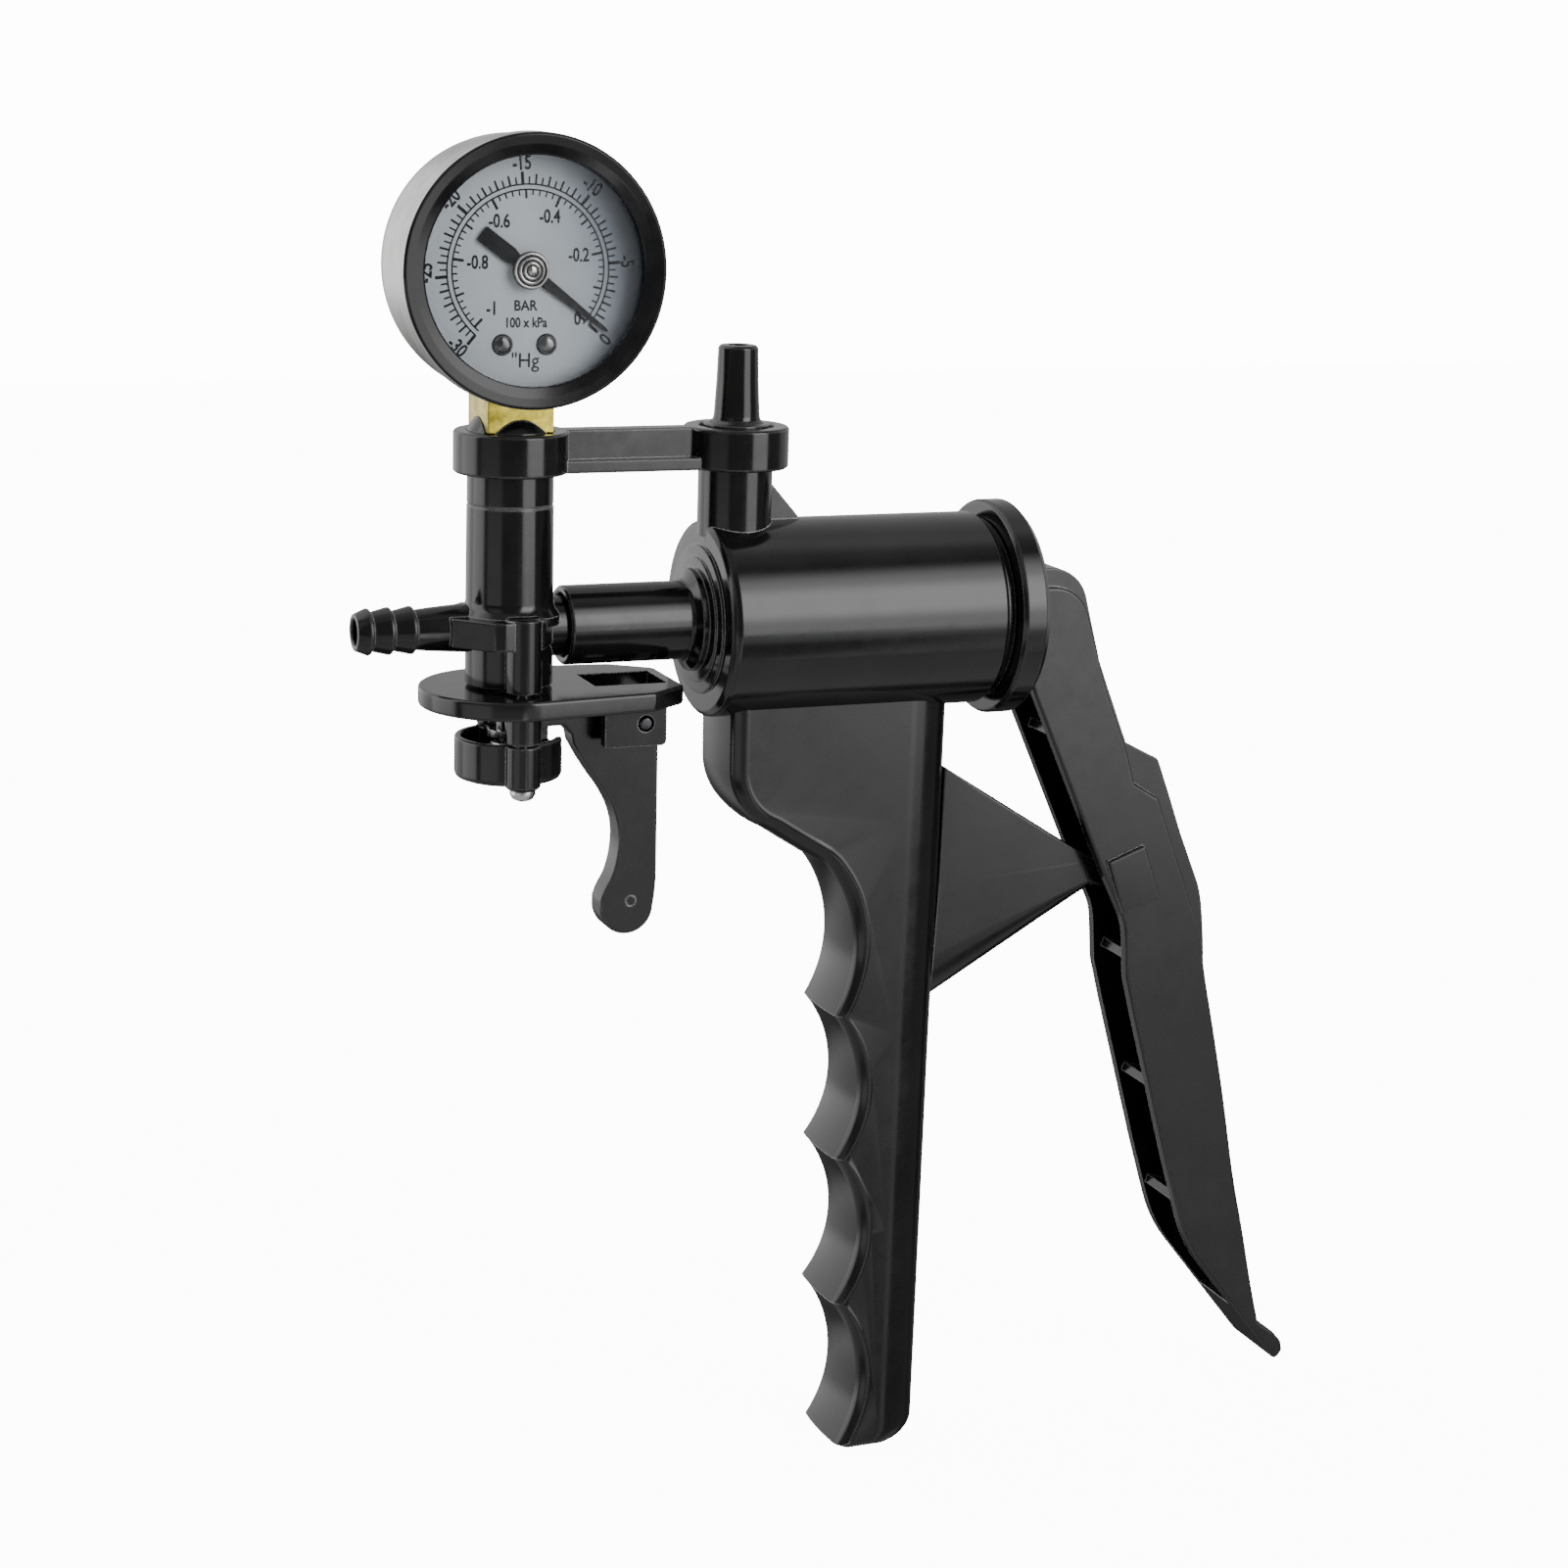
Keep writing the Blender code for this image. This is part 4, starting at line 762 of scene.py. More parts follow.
# a fine bead follows the front edge; inside it each side face lies 0.14 mm lower
for sunk, deeper in ((0.0, 0.3), (0.14, 0.52)):
    outline = grip_level(levels[-1])
    for i in range(len(front)):
        normal = inward(front, i)
        normal = normal if normal.x > 0 else -normal
        x, z = outline[i]
        outline[i] = (x + normal.x * deeper, max(z + normal.y * deeper * (0.0 if i == 0 else 1.0), -147.0))
    rows = [(-levels[-1], outline, sunk)] + rows + [(levels[-1], outline, sunk)]
verts, faces = [], []
for y, outline, sunk in rows:
    for i, (x, z) in enumerate(outline):
        full = abs(y) if i < len(front) else abs(y) * (levels[-1] - 0.14) / levels[-1]
        if i < len(front):
            full -= sunk
        verts.append(at(x, math.copysign(full, y) if y else 0.0, z))
ys = [row[0] for row in rows]
count = len(verts) // len(ys)
for a in range(len(ys) - 1):
    for i in range(count):
        j = (i + 1) % count
        faces.append([a * count + i, a * count + j, (a + 1) * count + j, (a + 1) * count + i])
for start in (0, (len(ys) - 1) * count):
    ringpts = [Vector((verts[start + i].x, verts[start + i].z, 0)) for i in range(count)]
    faces += [[start + v for v in tri] for tri in tessellate_polygon([ringpts])]
grip = make("pistol_grip", verts, faces)
piece(grip, "pump_body", PLASTIC_GRIP, ["grip"], sharp=40)

# ------------------------------------------------------------------ pivot bracket: its lower edge rolls back to a thin rim
rim_line = Vector((106.3 - 76.0, -50.6 + 68.3)).normalized()
rim_up = Vector((-rim_line.y, rim_line.x))
verts, faces = [], []
thick = [0, 0.3, 0.8, 1.2, 1.5, 1.75, 1.95, 2.1, 2.22, 2.32, 2.4, 2.46, 2.5]
ys = [-t for t in reversed(thick[1:])] + thick
nose = corners([(106.3, -50.6, 0), (112.5, -51.6, 1), (114.7, -49.2, 2), (114.5, -46.2, 2), (110.5, -45, 1), (105.6, -45.2, 0)], steps=6)
pin_at = Vector((111.0, -48.2))
for y in ys:
    t = abs(y)
    s = max(0.0, (t - 0.2) / 2.3)
    roll = 1 - math.sqrt(max(0.0, 1 - s * s))
    s = max(0.0, (t - 2.0) / 0.5)
    edge = 0.5 * (1 - math.sqrt(max(0.0, 1 - s * s)))
    outline = [(76.6 + edge, -27.0 - edge * 0.6), (76.6, -48.0)]
    outline.append((76.0, -68.3 + 7.0 * roll / rim_up.y))
    for k in range(1, 8):
        u = k / 8
        base = Vector((76.0, -68.3)).lerp(Vector((106.3, -50.6)), u)
        base = base + rim_up * (7.0 * (1 - u) + 1.6 * u) * roll
        outline.append(tuple(base))
    for x, z in nose:
        p = Vector((x, z))
        p = p + (pin_at - p).normalized() * edge * 0.9
        if (x, z) == nose[0]:
            p = Vector((x, z)) + rim_up * 1.6 * roll
        outline.append(tuple(p))
    for k in (1, 2, 3):
        p = Vector((105.6, -45.2)).lerp(Vector((76.6, -27.0)), k / 4)
        outline.append((p.x - 0.53 * edge, p.y - 0.85 * edge))
    verts += [at(x, y, z) for x, z in outline]
count = len(verts) // len(ys)
for a in range(len(ys) - 1):
    for i in range(count):
        j = (i + 1) % count
        faces.append([a * count + i, a * count + j, (a + 1) * count + j, (a + 1) * count + i])
for start in (0, (len(ys) - 1) * count):
    ringpts = [Vector((verts[start + i].x, verts[start + i].z, 0)) for i in range(count)]
    faces += [[start + v for v in tri] for tri in tessellate_polygon([ringpts])]
bracket = make("bracket_web", verts, faces)
bracket_hole = turned("bracket_hole", [(0, -4), (2.2, -4), (2.2, 4), (0, 4)], (111.5, 0, -48.2), "-Y", sides=48)
combine(bracket, ("-", bracket_hole))
piece(bracket, "pump_body", PLASTIC_GRIP, ["pivot_bracket"], sharp=35)

# ------------------------------------------------------------------ squeeze lever
PIVOT = (111.5, -48.2)
spine = (
    [(90.0, 4.1)]
    + arc(93.6, -3.1, 7.1, 90, 20, 14)
    + [(102.2, -6.7), (104.3, -13.4), (108.9, -24.5), (110.9, -31.0)]
    + corners([(111.5, -32.3, 0), (115.8, -33.9, 1.2), (118.6, -41.0, 0)], steps=6)[1:]
    + smooth_line([(121.9, -49.4), (125.5, -58.7), (127.5, -67.9), (129.7, -77.2), (132.7, -90.5), (135.8, -105.8), (138.7, -117.5), (141.0, -127.4), (143.1, -135.4)], 4)
)
inner_edge = (
    corners([(148.7, -141.8, 0), (147.2, -143.7, 1.0), (126.7, -118.3, 30), (121.4, -101.3, 30), (113.6, -74.2, 30), (111.5, -66.5, 8), (110.7, -56.6, 12), (105.1, -45.5, 12), (91.0, -14.7, 6), (89.3, -10.0, 6), (89.0, -4.0, 6), (89.0, 3.1, 0.6), (90.0, 4.1, 0)], steps=5)[1:-1]
)
tip = corners([(143.1, -135.4, 0), (146.4, -137.8, 1.5), (148.3, -139.9, 1.5), (148.7, -141.8, 1.0), (147.2, -143.7, 0)], steps=4)[1:-1]
lever = prism("lever_plates", spine + tip + inner_edge, -7.35, 7.35, rim=0.5, segments=4)
hollow = offset(spine, [-0.8 if z > -1.0 else -2.3 for x, z in spine])
channel = [(80.0, hollow[0][1])] + [p for p in hollow if p[1] > -134.0] + [(138.3, -131.5), (131.0, -133.5), (118.0, -121.0), (80.0, -60.0)]
outer = (
    [(89.9, 7.2)]
    + arc(93.4, -0.3, 7.4, 90, 20, 14)
    + [(102.4, -5.1), (103.7, -9.6), (105.4, -13.8), (109.6, -24.0)]
    + corners([(110.2, -25.3, 0), (116.0, -27.1, 1.6), (119.0, -34.6, 0)], steps=6)[1:]
    + smooth_line([(121.4, -40.9), (123.8, -46.5), (126.0, -52.0), (127.3, -61.0), (127.9, -68.0), (130.1, -77.2), (133.0, -90.5), (136.1, -105.8), (139.0, -117.5), (141.3, -127.4), (143.2, -134.6)], 4)
)
band = prism("lever_back", outer + [p for p in reversed(offset(spine, -0.6)) if p[1] > -132.0], -5.85, 5.85, rim=0.7, segments=4)
channel_cut = prism("lever_channel", channel, -5.35, 5.35)
lean = math.radians(20.0)
ribs = [
    block("lever_rib", (x - deep, -6.35, z - 0.8), (x + 2.2, 6.35, z + 0.8), turn=lean, about=(x, 0, z), rim=0.15)
    for x, z, deep in ((103.5, -24.5, 7.5), (120.6, -66.0, 8.0), (126.2, -90.0, 8.0), (131.5, -112.0, 7.0))
]
pads = []
for side in (-1, 1):
    low, high = sorted((side * 6.55, side * 8.25))
    pads.append(block("lever_pad", (PIVOT[0] - 3.7, low, PIVOT[1] - 5.1), (PIVOT[0] + 3.7, high, PIVOT[1] + 5.1), turn=-lean, about=(PIVOT[0], 0, PIVOT[1]), rim=0.35))
pivot_hole = turned("lever_pivot_hole", [(0, -7.2), (2.3, -7.2), (2.3, 7.2), (0, 7.2)], (PIVOT[0], 0, PIVOT[1]), "-Y", sides=48)
slot_lean = math.atan2(PIVOT[0] - 93.6, -PIVOT[1])
slot = []
for reach, start in ((51.9, 0), (47.6, 180)):
    cx, cz = PIVOT[0] - reach * math.sin(slot_lean), PIVOT[1] + reach * math.cos(slot_lean)
    slot += arc(cx, cz, 2.2, start + math.degrees(slot_lean), start + 180 + math.degrees(slot_lean), 14)
slot_cut = prism("lever_slot", slot, -6.6, 6.6)
combine(
    lever, ("+", band), ("-", channel_cut), ("+", ribs[0]), ("+", ribs[1]), ("+", ribs[2]), ("+", ribs[3]), ("+", pads[0]), ("+", pads[1]), ("-", pivot_hole), ("-", slot_cut)
)
piece(lever, "lever", PLASTIC_GRIP, ["lever"], sharp=30)

# ------------------------------------------------------------------ trigger and its pin
blade = (
    [(10.0, -17.6), (10.3, -19.2)]
    + smooth_line([(12.0, -22.2), (13.8, -24.9), (15.6, -27.4), (17.0, -29.9), (17.9, -32.4), (18.3, -35.0), (18.2, -37.6), (17.8, -40.0), (17.1, -42.2), (16.0, -44.2), (15.3, -46.0)], 4)
    + arc(19.9, -47.4, 4.6, 175, 345, 30)
    + [(24.8, -45.6), (25.0, -43.0), (25.0, -38.0), (24.95, -30.0), (24.9, -19.6), (24.3, -15.9)]
    + arc(21.0, -15.4, 2.9, 0, 120, 14)
    + [(18.4, -13.3), (1.6, -13.3), (1.6, -16.1), (8.6, -16.1)]
)
trigger = prism("trigger_blade", blade, -2.5, 2.5, rim=0.42, segments=4)
fork = block("trigger_fork", (-2.5, -4.2, -16.1), (5.5, 4.2, -14.1), rim=0.2)
hub = turned("trigger_hub", [(0, -4.6), (2.75, -4.6, 0.05), (2.9, -4.45, 0.1), (2.9, 4.45, 0.1), (2.75, 4.6, 0.05), (0, 4.6)], (21.0, 0, -15.4), "-Y", sides=56)
hub_bore = turned("trigger_bore", [(0, -8), (1.4, -8), (1.4, 8), (0, 8)], (21.0, 0, -15.4), "-Y", sides=40)
fork_cut = block("trigger_fork_cut", (-4.0, -2.2, -18.0), (4.2, 2.2, -12.0))
mark = turned("ejector_mark", [(0.82, 2.45), (0.95, 2.44), (1.0, 2.56), (0.77, 2.56)], (20.6, 0, -46.3), "-Y", sides=48, ring=True)
combine(trigger, ("+", fork), ("+", hub), ("-", hub_bore), ("-", fork_cut), ("-", mark))
piece(trigger, "trigger", PLASTIC_GRIP, ["trigger"], sharp=30)
pin = turned("trigger_hinge_pin", [(0, -7.4), (0.85, -7.4, 0.05), (1.1, -7.15, 0.1), (1.1, 7.15, 0.1), (0.85, 7.4, 0.05), (0, 7.4)], (21.0, 0, -15.4), "-Y", sides=48)
piece(pin, "pump_body", STEEL_DARK, ["trigger_pin"])

# ------------------------------------------------------------------ gauge
G = (0, 0, GAUGE_Z)
case = turned(
    "gauge_case_shell",
    [
        (0, -8.5), (11.3, -8.5), (14.5, -7.6), (17.1, -5.6), (18.7, -2.9), (19.3, 0), (19.3, 7.45), (20.0, 7.45, 0.1), (20.3, 7.15, 0.15), (20.3, -1.5, 5), (19.9, -4.4, 5), (18.3, -7.3, 4),
        (15.2, -9.1, 4), (11.3, -9.5, 2), (0, -9.5),
    ],
    G,
    "-Y",
    sides=160,
)
case_notch = block("case_notch", (-5.7, -5.7, 27.3), (5.7, 5.7, 43.3))
combine(case, ("-", case_notch))
piece(case, "pump_body", CASE_GREY, ["gauge_case"], sharp=28)
bezel = turned(
    "gauge_bezel_ring",
    [(17.5, 12.0), (17.5, 12.5, 0.15), (17.8, 12.64, 0.2), (19.2, 12.96, 1.0), (20.6, 13.13, 0.22), (21.0, 12.75, 0.25), (21.0, 8.8, 0.3), (20.75, 8.45, 0.2), (20.5, 8.35), (19.3, 8.35), (19.3, 12.0)],
    G,
    "-Y",
    sides=200,
    ring=True,
)
piece(bezel, "pump_body", BEZEL, ["gauge_bezel"], sharp=28)
lens = turned("gauge_window", [(0, 11.0), (18.9, 11.0, 0.05), (19.0, 11.1), (19.0, 11.55), (18.9, 11.7, 0.05), (9.0, 11.74, 9), (0, 11.76)], G, "-Y", sides=144)
piece(lens, "pump_body", LENS, ["gauge_lens"], sharp=35)
dial = turned("dial_plate", [(1.2, 8.0), (18.9, 8.0, 0.05), (19.0, 8.1), (19.0, 8.4), (18.9, 8.5, 0.05), (1.2, 8.5)], G, "-Y", sides=160, ring=True)
piece(dial, "pump_body", DIAL, ["gauge_dial"], sharp=35)
for x, label in ((-4.1, "left"), (3.0, "right")):
    head = turned(
        "dial_rivet_" + label,
        [(0, 8.62), (1.42, 8.62, 0.03), (1.45, 8.68), (1.45, 8.86, 0.08), (1.3, 9.1, 0.2), (0.9, 9.32, 0.3), (0.3, 9.4, 0.2), (0, 9.4)],
        (x, 0, GAUGE_Z - 11.4),
        "-Y",
        sides=48,
    )
    piece(head, "pump_body", SCREW_DARK, ["dial_screw_" + label])

# print on the dial, and a black ring round each screw standing for the shade of a recess (painted shade): everything is
# geometry 0.02 mm high, set just proud of the plate
PRINT_LOW, PRINT_HIGH = -8.525, -8.503


def dial_point(r, angle):
    return (r * math.cos(math.radians(angle)), GAUGE_Z + r * math.sin(math.radians(angle)))


def mark_box(r0, r1, angle, wide):
    c, s = math.cos(math.radians(angle)), math.sin(math.radians(angle))
    h = wide / 2
    return [(r0 * c + h * s, GAUGE_Z + r0 * s - h * c), (r1 * c + h * s, GAUGE_Z + r1 * s - h * c), (r1 * c - h * s, GAUGE_Z + r1 * s + h * c), (r0 * c - h * s, GAUGE_Z + r0 * s + h * c)]


def arc_band(r, wide, start, end, steps):
    return arc(0, GAUGE_Z, r + wide / 2, start, end, steps) + arc(0, GAUGE_Z, r - wide / 2, end, start, steps)


def wording(text, x, z, height, squeeze=0.76, bold=0.03, turn=0.0):
    """Figures, upright or turned, from Blender's own plain font, as flat solids standing off the dial."""
    curve = bpy.data.curves.new("figure", "FONT")
    curve.body = text
    curve.align_x, curve.align_y = "CENTER", "CENTER"
    curve.size = height * MM / 0.72
    curve.extrude = (PRINT_HIGH - PRINT_LOW) / -2 * -MM / 1.0
    curve.resolution_u = 3
    curve.offset = height * bold * MM
    holder = bpy.data.objects.new("figure", curve)
    bpy.context.scene.collection.objects.link(holder)
    bpy.context.view_layer.update()
    mesh = bpy.data.meshes.new_from_object(holder.evaluated_get(bpy.context.evaluated_depsgraph_get()))
    bpy.data.objects.remove(holder, do_unlink=True)
    middle = at(x, (PRINT_LOW + PRINT_HIGH) / 2, z)
    low = Vector([min(v.co[k] for v in mesh.vertices) for k in range(3)])
    high = Vector([max(v.co[k] for v in mesh.vertices) for k in range(3)])
    half = (low + high) / 2
    c, s = math.cos(math.radians(turn)), math.sin(math.radians(turn))
    for v in mesh.vertices:
        u, w, d = (v.co.x - half.x) * squeeze, v.co.y - half.y, v.co.z - half.z
        u, w = u * c - w * s, u * s + w * c
        v.co = (middle.x + u, middle.y - d, middle.z + w)
    thing = bpy.data.objects.new("figure", mesh)
    bpy.context.scene.collection.objects.link(thing)
    return thing


print_and_painted_shade = [
    prism("line", arc_band(12.95, 0.24, -40.5, 229.5, 150), PRINT_LOW, PRINT_HIGH),
    prism("line", arc_band(12.15, 0.24, -43.0, 229.5, 150), PRINT_LOW, PRINT_HIGH),
]
for i in range(61):
    angle = -40.5 + 4.5 * i
    top, wide = (14.85, 0.5) if i % 10 == 0 else ((14.5, 0.32) if i % 2 == 0 else (14.1, 0.25))
    print_and_painted_shade.append(prism("tick", mark_box(12.9, top, angle, wide), PRINT_LOW, PRINT_HIGH))
for i in range(51):
    angle = -40.5 + 5.316 * i
    low, wide = (10.4, 0.42) if i % 10 == 0 else ((10.8, 0.34) if i % 5 == 0 else (11.3, 0.24))
    print_and_painted_shade.append(prism("tick", mark_box(low, 12.15, angle, wide), PRINT_LOW, PRINT_HIGH))
for text, angle, r, lean in (("-30", 226, 16.1, -44), ("-25", 181.5, 16.4, 86), ("-20", 139.5, 16.4, 46), ("-15", 94.4, 16.2, 4), ("-10", 51.5, 16.3, -36), ("-5", 4.7, 16.0, -80), ("0", -40.5, 16.5, 48)):
    print_and_painted_shade.append(wording(text, *dial_point(r, angle), 2.2, turn=lean))
for text, angle, r in (("-1", 224, 8.3), ("-0.8", 171.6, 8.2), ("-0.6", 122.3, 8.8), ("-0.4", 67.7, 8.8), ("-0.2", 15.9, 8.4), ("0", -43, 10.9)):
    print_and_painted_shade.append(wording(text, *dial_point(r, angle), 2.1))
print_and_painted_shade.append(wording("BAR", -0.35, GAUGE_Z - 5.4, 1.6, 0.92))
print_and_painted_shade.append(wording("100 x kPa", -0.2, GAUGE_Z - 8.0, 1.55, 0.8))
print_and_painted_shade.append(wording('"Hg', -0.35, GAUGE_Z - 14.1, 2.3, 0.95, 0.006))
# painted shade: a black disc under each screw head, seen as a dark ring round it, stands in for the shade of a recess
# in the dial
for x in (-4.1, 3.0):
    print_and_painted_shade.append(prism("ring", [(x + px, GAUGE_Z - 11.4 + pz) for px, pz in arc(0, 0, 1.68, 0, 354, 40)], PRINT_LOW, PRINT_HIGH))
printed_and_painted_shade = joined("dial_print_and_painted_shade", print_and_painted_shade)
piece(printed_and_painted_shade, "pump_body", INK_AND_PAINTED_SHADE, sharp=30, even=False)

# needle, hub: oxide stays dark in the hub's turned grooves
nodes, links = HUB.node_tree.nodes, HUB.node_tree.links
hub_shader = nodes["Principled BSDF"]
hub_color = hub_shader.inputs["Base Color"].links[0].from_socket
coords = nodes.new("ShaderNodeTexCoord")
split = nodes.new("ShaderNodeSeparateXYZ")
links.new(coords.outputs["Object"], split.inputs["Vector"])
u = maths(nodes, links, "SUBTRACT", split.outputs["X"], OX)
v = maths(nodes, links, "SUBTRACT", split.outputs["Z"], OZ + GAUGE_Z * MM)
reach = maths(nodes, links, "SQRT", maths(nodes, links, "ADD", maths(nodes, links, "MULTIPLY", u, u), maths(nodes, links, "MULTIPLY", v, v)))
dark = 0.0
for low, high in ((0.74, 0.96), (1.42, 1.66), (2.14, 2.4), (2.84, 3.2)):
    band = maths(nodes, links, "MULTIPLY", remap(nodes, links, reach, (low - 0.04) * MM, low * MM, 0.0, 1.0), remap(nodes, links, reach, high * MM, (high + 0.04) * MM, 1.0, 0.0))
    dark = maths(nodes, links, "ADD", band, dark, clamp=True)
links.new(mix(nodes, links, dark, hub_color, (0.012, 0.012, 0.012)), hub_shader.inputs["Base Color"])
rest = math.radians(-36.5)
NX, NZ = math.cos(rest), math.sin(rest)


def along(distance, side):
    return (distance * NX - side * NZ, GAUGE_Z + distance * NZ + side * NX)


pointer = prism(
    "gauge_pointer",
    [along(-9.3, 1.3), along(-9.5, 1.1), along(-9.5, -1.1), along(-9.3, -1.3), along(-3.8, -1.3), along(-2.2, -0.9), along(2.0, -0.92), along(9.0, -0.62), along(15.2, -0.3), along(15.9, -0.08), along(15.9, 0.08), along(15.2, 0.3), along(9.0, 0.62), along(2.0, 0.92), along(-2.2, 0.9), along(-3.8, 1.3)],
    -9.14, -8.87, rim=0.05, segments=2,
)
combine(pointer, ("-", turned("pointer_hole", [(0, 8), (0.7, 8), (0.7, 10), (0, 10)], G, "-Y", sides=32)))
piece(pointer, "needle", NEEDLE_BLACK, ["needle"])
hub_cap = turned(
    "needle_boss",
    [
        (0, 9.46), (2.75, 9.46, 0.04), (2.9, 9.6, 0.04), (2.9, 10.05, 0.12), (2.68, 10.3, 0.12), (2.4, 10.3, 0.06), (2.36, 9.9, 0.03), (2.18, 9.9, 0.03), (2.12, 10.42, 0.08), (1.9, 10.56, 0.1), (1.66, 10.5, 0.05),
        (1.62, 10.1, 0.03), (1.46, 10.1, 0.03), (1.4, 10.56, 0.08), (1.18, 10.66, 0.08), (0.96, 10.6, 0.05), (0.92, 10.25, 0.02), (0.78, 10.25, 0.02), (0.72, 10.62, 0.05), (0.3, 10.72, 0.2), (0, 10.74),
    ],
    G,
    "-Y",
    sides=72,
)
piece(hub_cap, "needle", HUB, ["needle_hub"])

# brass stem with a square shoulder
stem = turned("gauge_stem_neck", [(0, 20.6), (4.3, 20.6, 0.1), (4.6, 21.0, 0.2), (4.6, 44.6), (0, 44.6)], (0, 0, 0), sides=72)
square = block("stem_square", (-5.4, -5.4, 31.75), (5.4, 5.4, 42.0), rim=0.18)
combine(stem, ("+", square))
piece(stem, "pump_body", BRASS, ["gauge_stem"], sharp=30)

# ------------------------------------------------------------------ springs
def helix(name, radius, length, turns, wire, put, per_turn=30, sides=10):
    """A round wire wound along put's first coordinate, both ends capped."""
    count = int(turns * per_turn)
    verts = []
    for i in range(count + 1):
        c, s = math.cos(2 * math.pi * i / per_turn), math.sin(2 * math.pi * i / per_turn)
        for k in range(sides):
            b = 2 * math.pi * k / sides
            r = radius + wire * math.cos(b)
            verts.append(put(length * i / count + wire * math.sin(b), r * c, r * s))
    faces = [list(range(sides)), list(range((count + 1) * sides - 1, count * sides - 1, -1))]
    for i in range(count):
        for k in range(sides):
            a, b = i * sides + k, i * sides + (k + 1) % sides
            faces.append([a, b, b + sides, a + sides])
    return make(name, verts, faces)


return_spring = helix("return_spring", 9.9, 38.3, 5.5, 0.72, lambda s, u, v: at(45.2 + s, u, v))
piece(return_spring, "pump_body", STEEL, ["piston_spring"])
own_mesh(return_spring)
valve_spring = helix("valve_spring", 2.6, 4.1, 3.0, 0.33, lambda s, u, v: at(u, v, -22.3 + s), per_turn=28, sides=8)
piece(valve_spring, "pump_body", STEEL, ["relief_spring"])
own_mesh(valve_spring)

# ------------------------------------------------------------------ inner pieces keep their CAD meshes
INNER = {
    "pivot_pin": STEEL, "piston_rod": STEEL_BRIGHT, "rod_pin": STEEL, "piston_screw": STEEL, "relief_plunger": STEEL,
    "piston": PLASTIC, "piston_seal": RUBBER, "spigot_oring": RUBBER, "relief_seal": RUBBER, "inlet_valve_disc": RUBBER, "exhaust_valve_disc": RUBBER,
    "bourdon_tube": BRASS_PLAIN, "movement_plate": BRASS_PLAIN, "sector_gear": BRASS_PLAIN, "needle_arbor": BRASS_PLAIN,
}
for node, material in INNER.items():
    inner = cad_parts[node]
    inner.data.materials.clear()
    inner.data.materials.append(material)
    inner.data.shade_smooth()
    inner.data.set_sharp_from_angle(angle=math.radians(35))

# ------------------------------------------------------------------ floor
floor_mesh = bpy.data.meshes.new("floor")
floor_mesh.from_pydata([(-1.6, -1.6, FLOOR_Z), (1.6, -1.6, FLOOR_Z), (1.6, 1.6, FLOOR_Z), (-1.6, 1.6, FLOOR_Z)], [], [(0, 1, 2, 3)])
floor = bpy.data.objects.new("floor", floor_mesh)
bpy.context.scene.collection.objects.link(floor)
paper, nodes, links, bsdf = shader("floor_paper", (0.93, 0.93, 0.93), 0.8)
coords = nodes.new("ShaderNodeTexCoord")
links.new(ramp(nodes, links, noise(nodes, links, coords, 3, 3), [(0.3, (0.925, 0.925, 0.925)), (0.7, (0.94, 0.94, 0.94))]), bsdf.inputs["Base Color"])
floor_mesh.materials.append(paper)
bsdf.inputs["Emission Color"].default_value = (1.0, 1.0, 1.0, 1)
bsdf.inputs["Emission Strength"].default_value = 12.0
floor.visible_glossy = False
floor.visible_diffuse = False

# ------------------------------------------------------------------ studio light: a pale surround with soft boxes placed by direction
world = bpy.data.worlds.new("studio")
bpy.context.scene.world = world
world.use_nodes = True
nodes, links = world.node_tree.nodes, world.node_tree.links
nodes.clear()
out = nodes.new("ShaderNodeOutputWorld")
coords = nodes.new("ShaderNodeTexCoord")
split = nodes.new("ShaderNodeSeparateXYZ")
links.new(coords.outputs["Generated"], split.inputs["Vector"])


def sm(*args):
    return maths(nodes, links, *args)


# azimuth in degrees, 0 towards the viewer's side of the bench and growing towards the lever; elevation in degrees
azimuth = sm("MULTIPLY", sm("ARCTAN2", split.outputs["X"], sm("MULTIPLY", split.outputs["Y"], -1.0)), 180 / math.pi)
elevation = sm("MULTIPLY", sm("ARCSINE", split.outputs["Z"]), 180 / math.pi)


def window_of(value, low, high, soft):
    a = remap(nodes, links, value, low - soft, low + soft, 0.0, 1.0, smooth=True)
    b = remap(nodes, links, value, high - soft, high + soft, 1.0, 0.0, smooth=True)
    return sm("MULTIPLY", a, b)


def patch(az0, az1, el0, el1, level, soft=3.0, soft_low=3.0, soft_high=None):
    high = soft_low if soft_high is None else soft_high
    rising = remap(nodes, links, elevation, el0 - soft_low, el0 + soft_low, 0.0, 1.0, smooth=True)
    falling = remap(nodes, links, elevation, el1 - high, el1 + high, 1.0, 0.0, smooth=True)
    return sm("MULTIPLY", sm("MULTIPLY", window_of(azimuth, az0, az1, soft), sm("MULTIPLY", rising, falling)), level)


behind = remap(nodes, links, split.outputs["Y"], -0.12, 0.12, 0.0, 1.0, smooth=True)
left_side = remap(nodes, links, split.outputs["X"], -0.25, 0.15, 1.0, 0.5, smooth=True)
left_only = remap(nodes, links, split.outputs["X"], -0.3, 0.05, 1.0, 0.0, smooth=True)
low = remap(nodes, links, elevation, -16, -26, 0.0, 1.0, smooth=True)
backdrop = sm("MULTIPLY", behind, sm("ADD", sm("MULTIPLY", left_side, window_of(elevation, -12, 70, 4.0)), sm("MULTIPLY", left_only, 0.6)))
base_light = sm("MULTIPLY", sm("SUBTRACT", 1.0, sm("MULTIPLY", sm("MULTIPLY", behind, low), 0.6)), 0.16)
total = sm("ADD", sm("MULTIPLY", backdrop, 0.85), base_light)
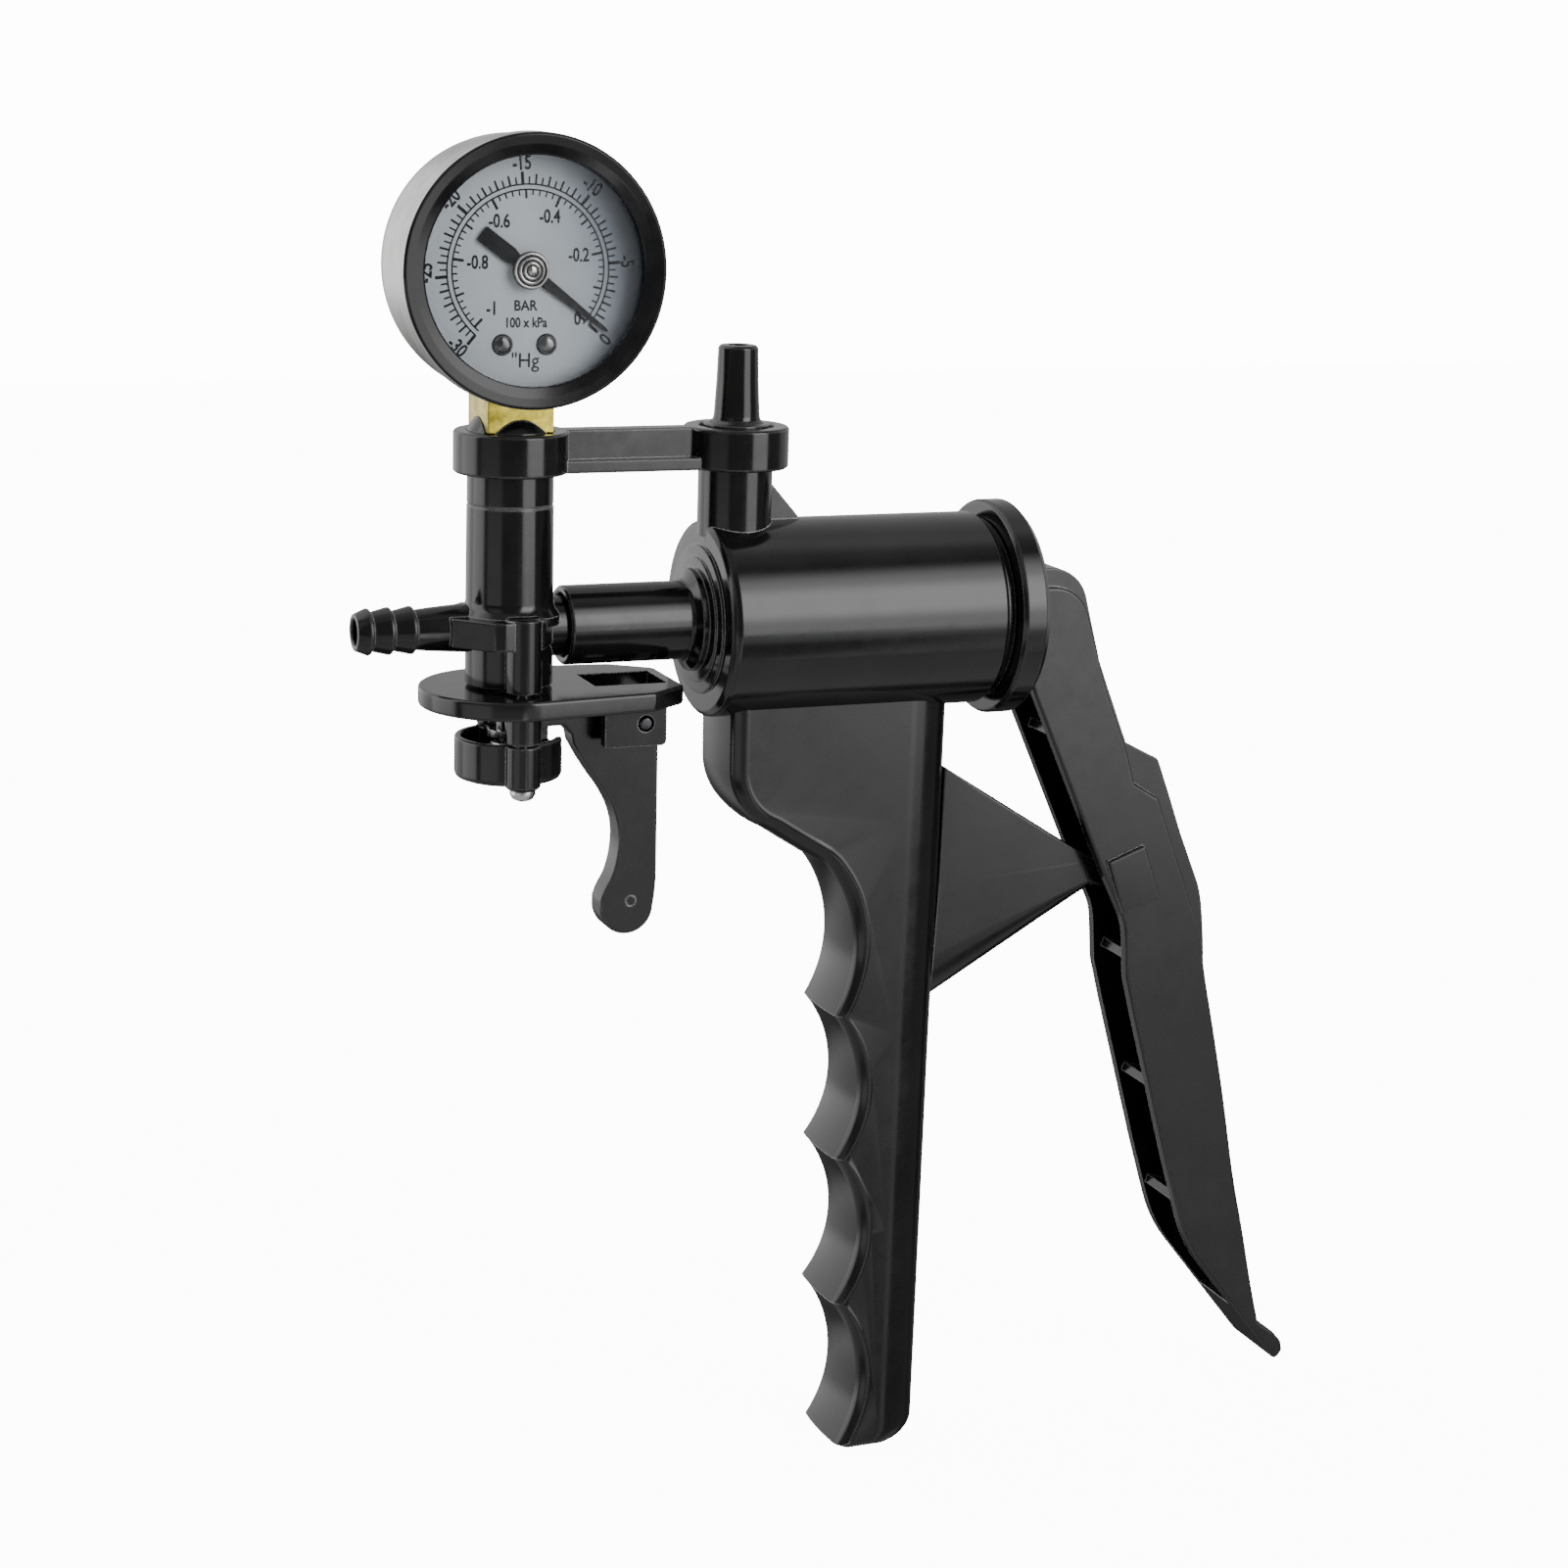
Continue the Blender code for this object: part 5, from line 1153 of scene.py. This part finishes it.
for args in (
    (17, 52, -10, 50, 3.1, 2.0, 1.8, 8.0),
    (15, 50, 6, 36, 2.8, 4.0, 7.0, 7.0),
    (24.5, 52, -14, -10, 1.6, 1.5, 1.0, 1.8),
    (8, 27.5, -19.5, -10, 0.8, 1.5, 3.5, 2.0),
    (27.5, 33.5, -38, -10, 0.8, 1.5, 2.0, 2.0),
    (2, 8, -38, -13, 2.4, 1.5, 1.5, 1.5),
    (-38, 0, -42, -11.5, 0.4, 4.0, 3.0, 1.5),
    (-78, -38, -24, -8, 0.8, 4.0, 4.0, 2.0),
    (-130, -88, -20, 50, 1.1, 3.0, 6.0, 6.0),
    (-75, -40, 20, 60, 0.4, 6.0, 6.0, 6.0),
    (-180, 180, 62, 95, 0.25, 5.0, 6.0, 6.0),
    (-90, 90, -95, -38, 0.42, 5.0, 6.0, 4.0),
):
    total = sm("ADD", total, patch(*args))
glow = nodes.new("ShaderNodeBackground")
glow.inputs["Color"].default_value = (1.0, 1.0, 1.0, 1)
links.new(total, glow.inputs["Strength"])
plain = nodes.new("ShaderNodeBackground")
plain.inputs["Color"].default_value = (1.0, 1.0, 1.0, 1)
plain.inputs["Strength"].default_value = 14.0
path = nodes.new("ShaderNodeLightPath")
choose = nodes.new("ShaderNodeMixShader")
links.new(path.outputs["Is Camera Ray"], choose.inputs["Fac"])
links.new(glow.outputs[0], choose.inputs[1])
links.new(plain.outputs[0], choose.inputs[2])
links.new(choose.outputs[0], out.inputs["Surface"])

# ------------------------------------------------------------------ camera
lens_data = bpy.data.cameras.new("camera")
lens_data.lens = 72.64
lens_data.sensor_width = 36.0
lens_data.clip_start = 0.01
lens_data.clip_end = 10.0
camera = bpy.data.objects.new("camera", lens_data)
bpy.context.scene.collection.objects.link(camera)
a, e, roll = math.radians(-22.322), math.radians(13.625), math.radians(1.704)
back = Vector((math.sin(a) * math.cos(e), -math.cos(a) * math.cos(e), math.sin(e)))
right = Vector((0, 0, 1)).cross(back).normalized()
up = back.cross(right)
R = right * math.cos(roll) + up * math.sin(roll)
U = up * math.cos(roll) - right * math.sin(roll)
turn = Matrix((R, U, back)).transposed().to_4x4()
camera.matrix_world = Matrix.Translation(Vector((-0.2135, -0.4769, 0.1811))) @ turn
bpy.context.scene.camera = camera
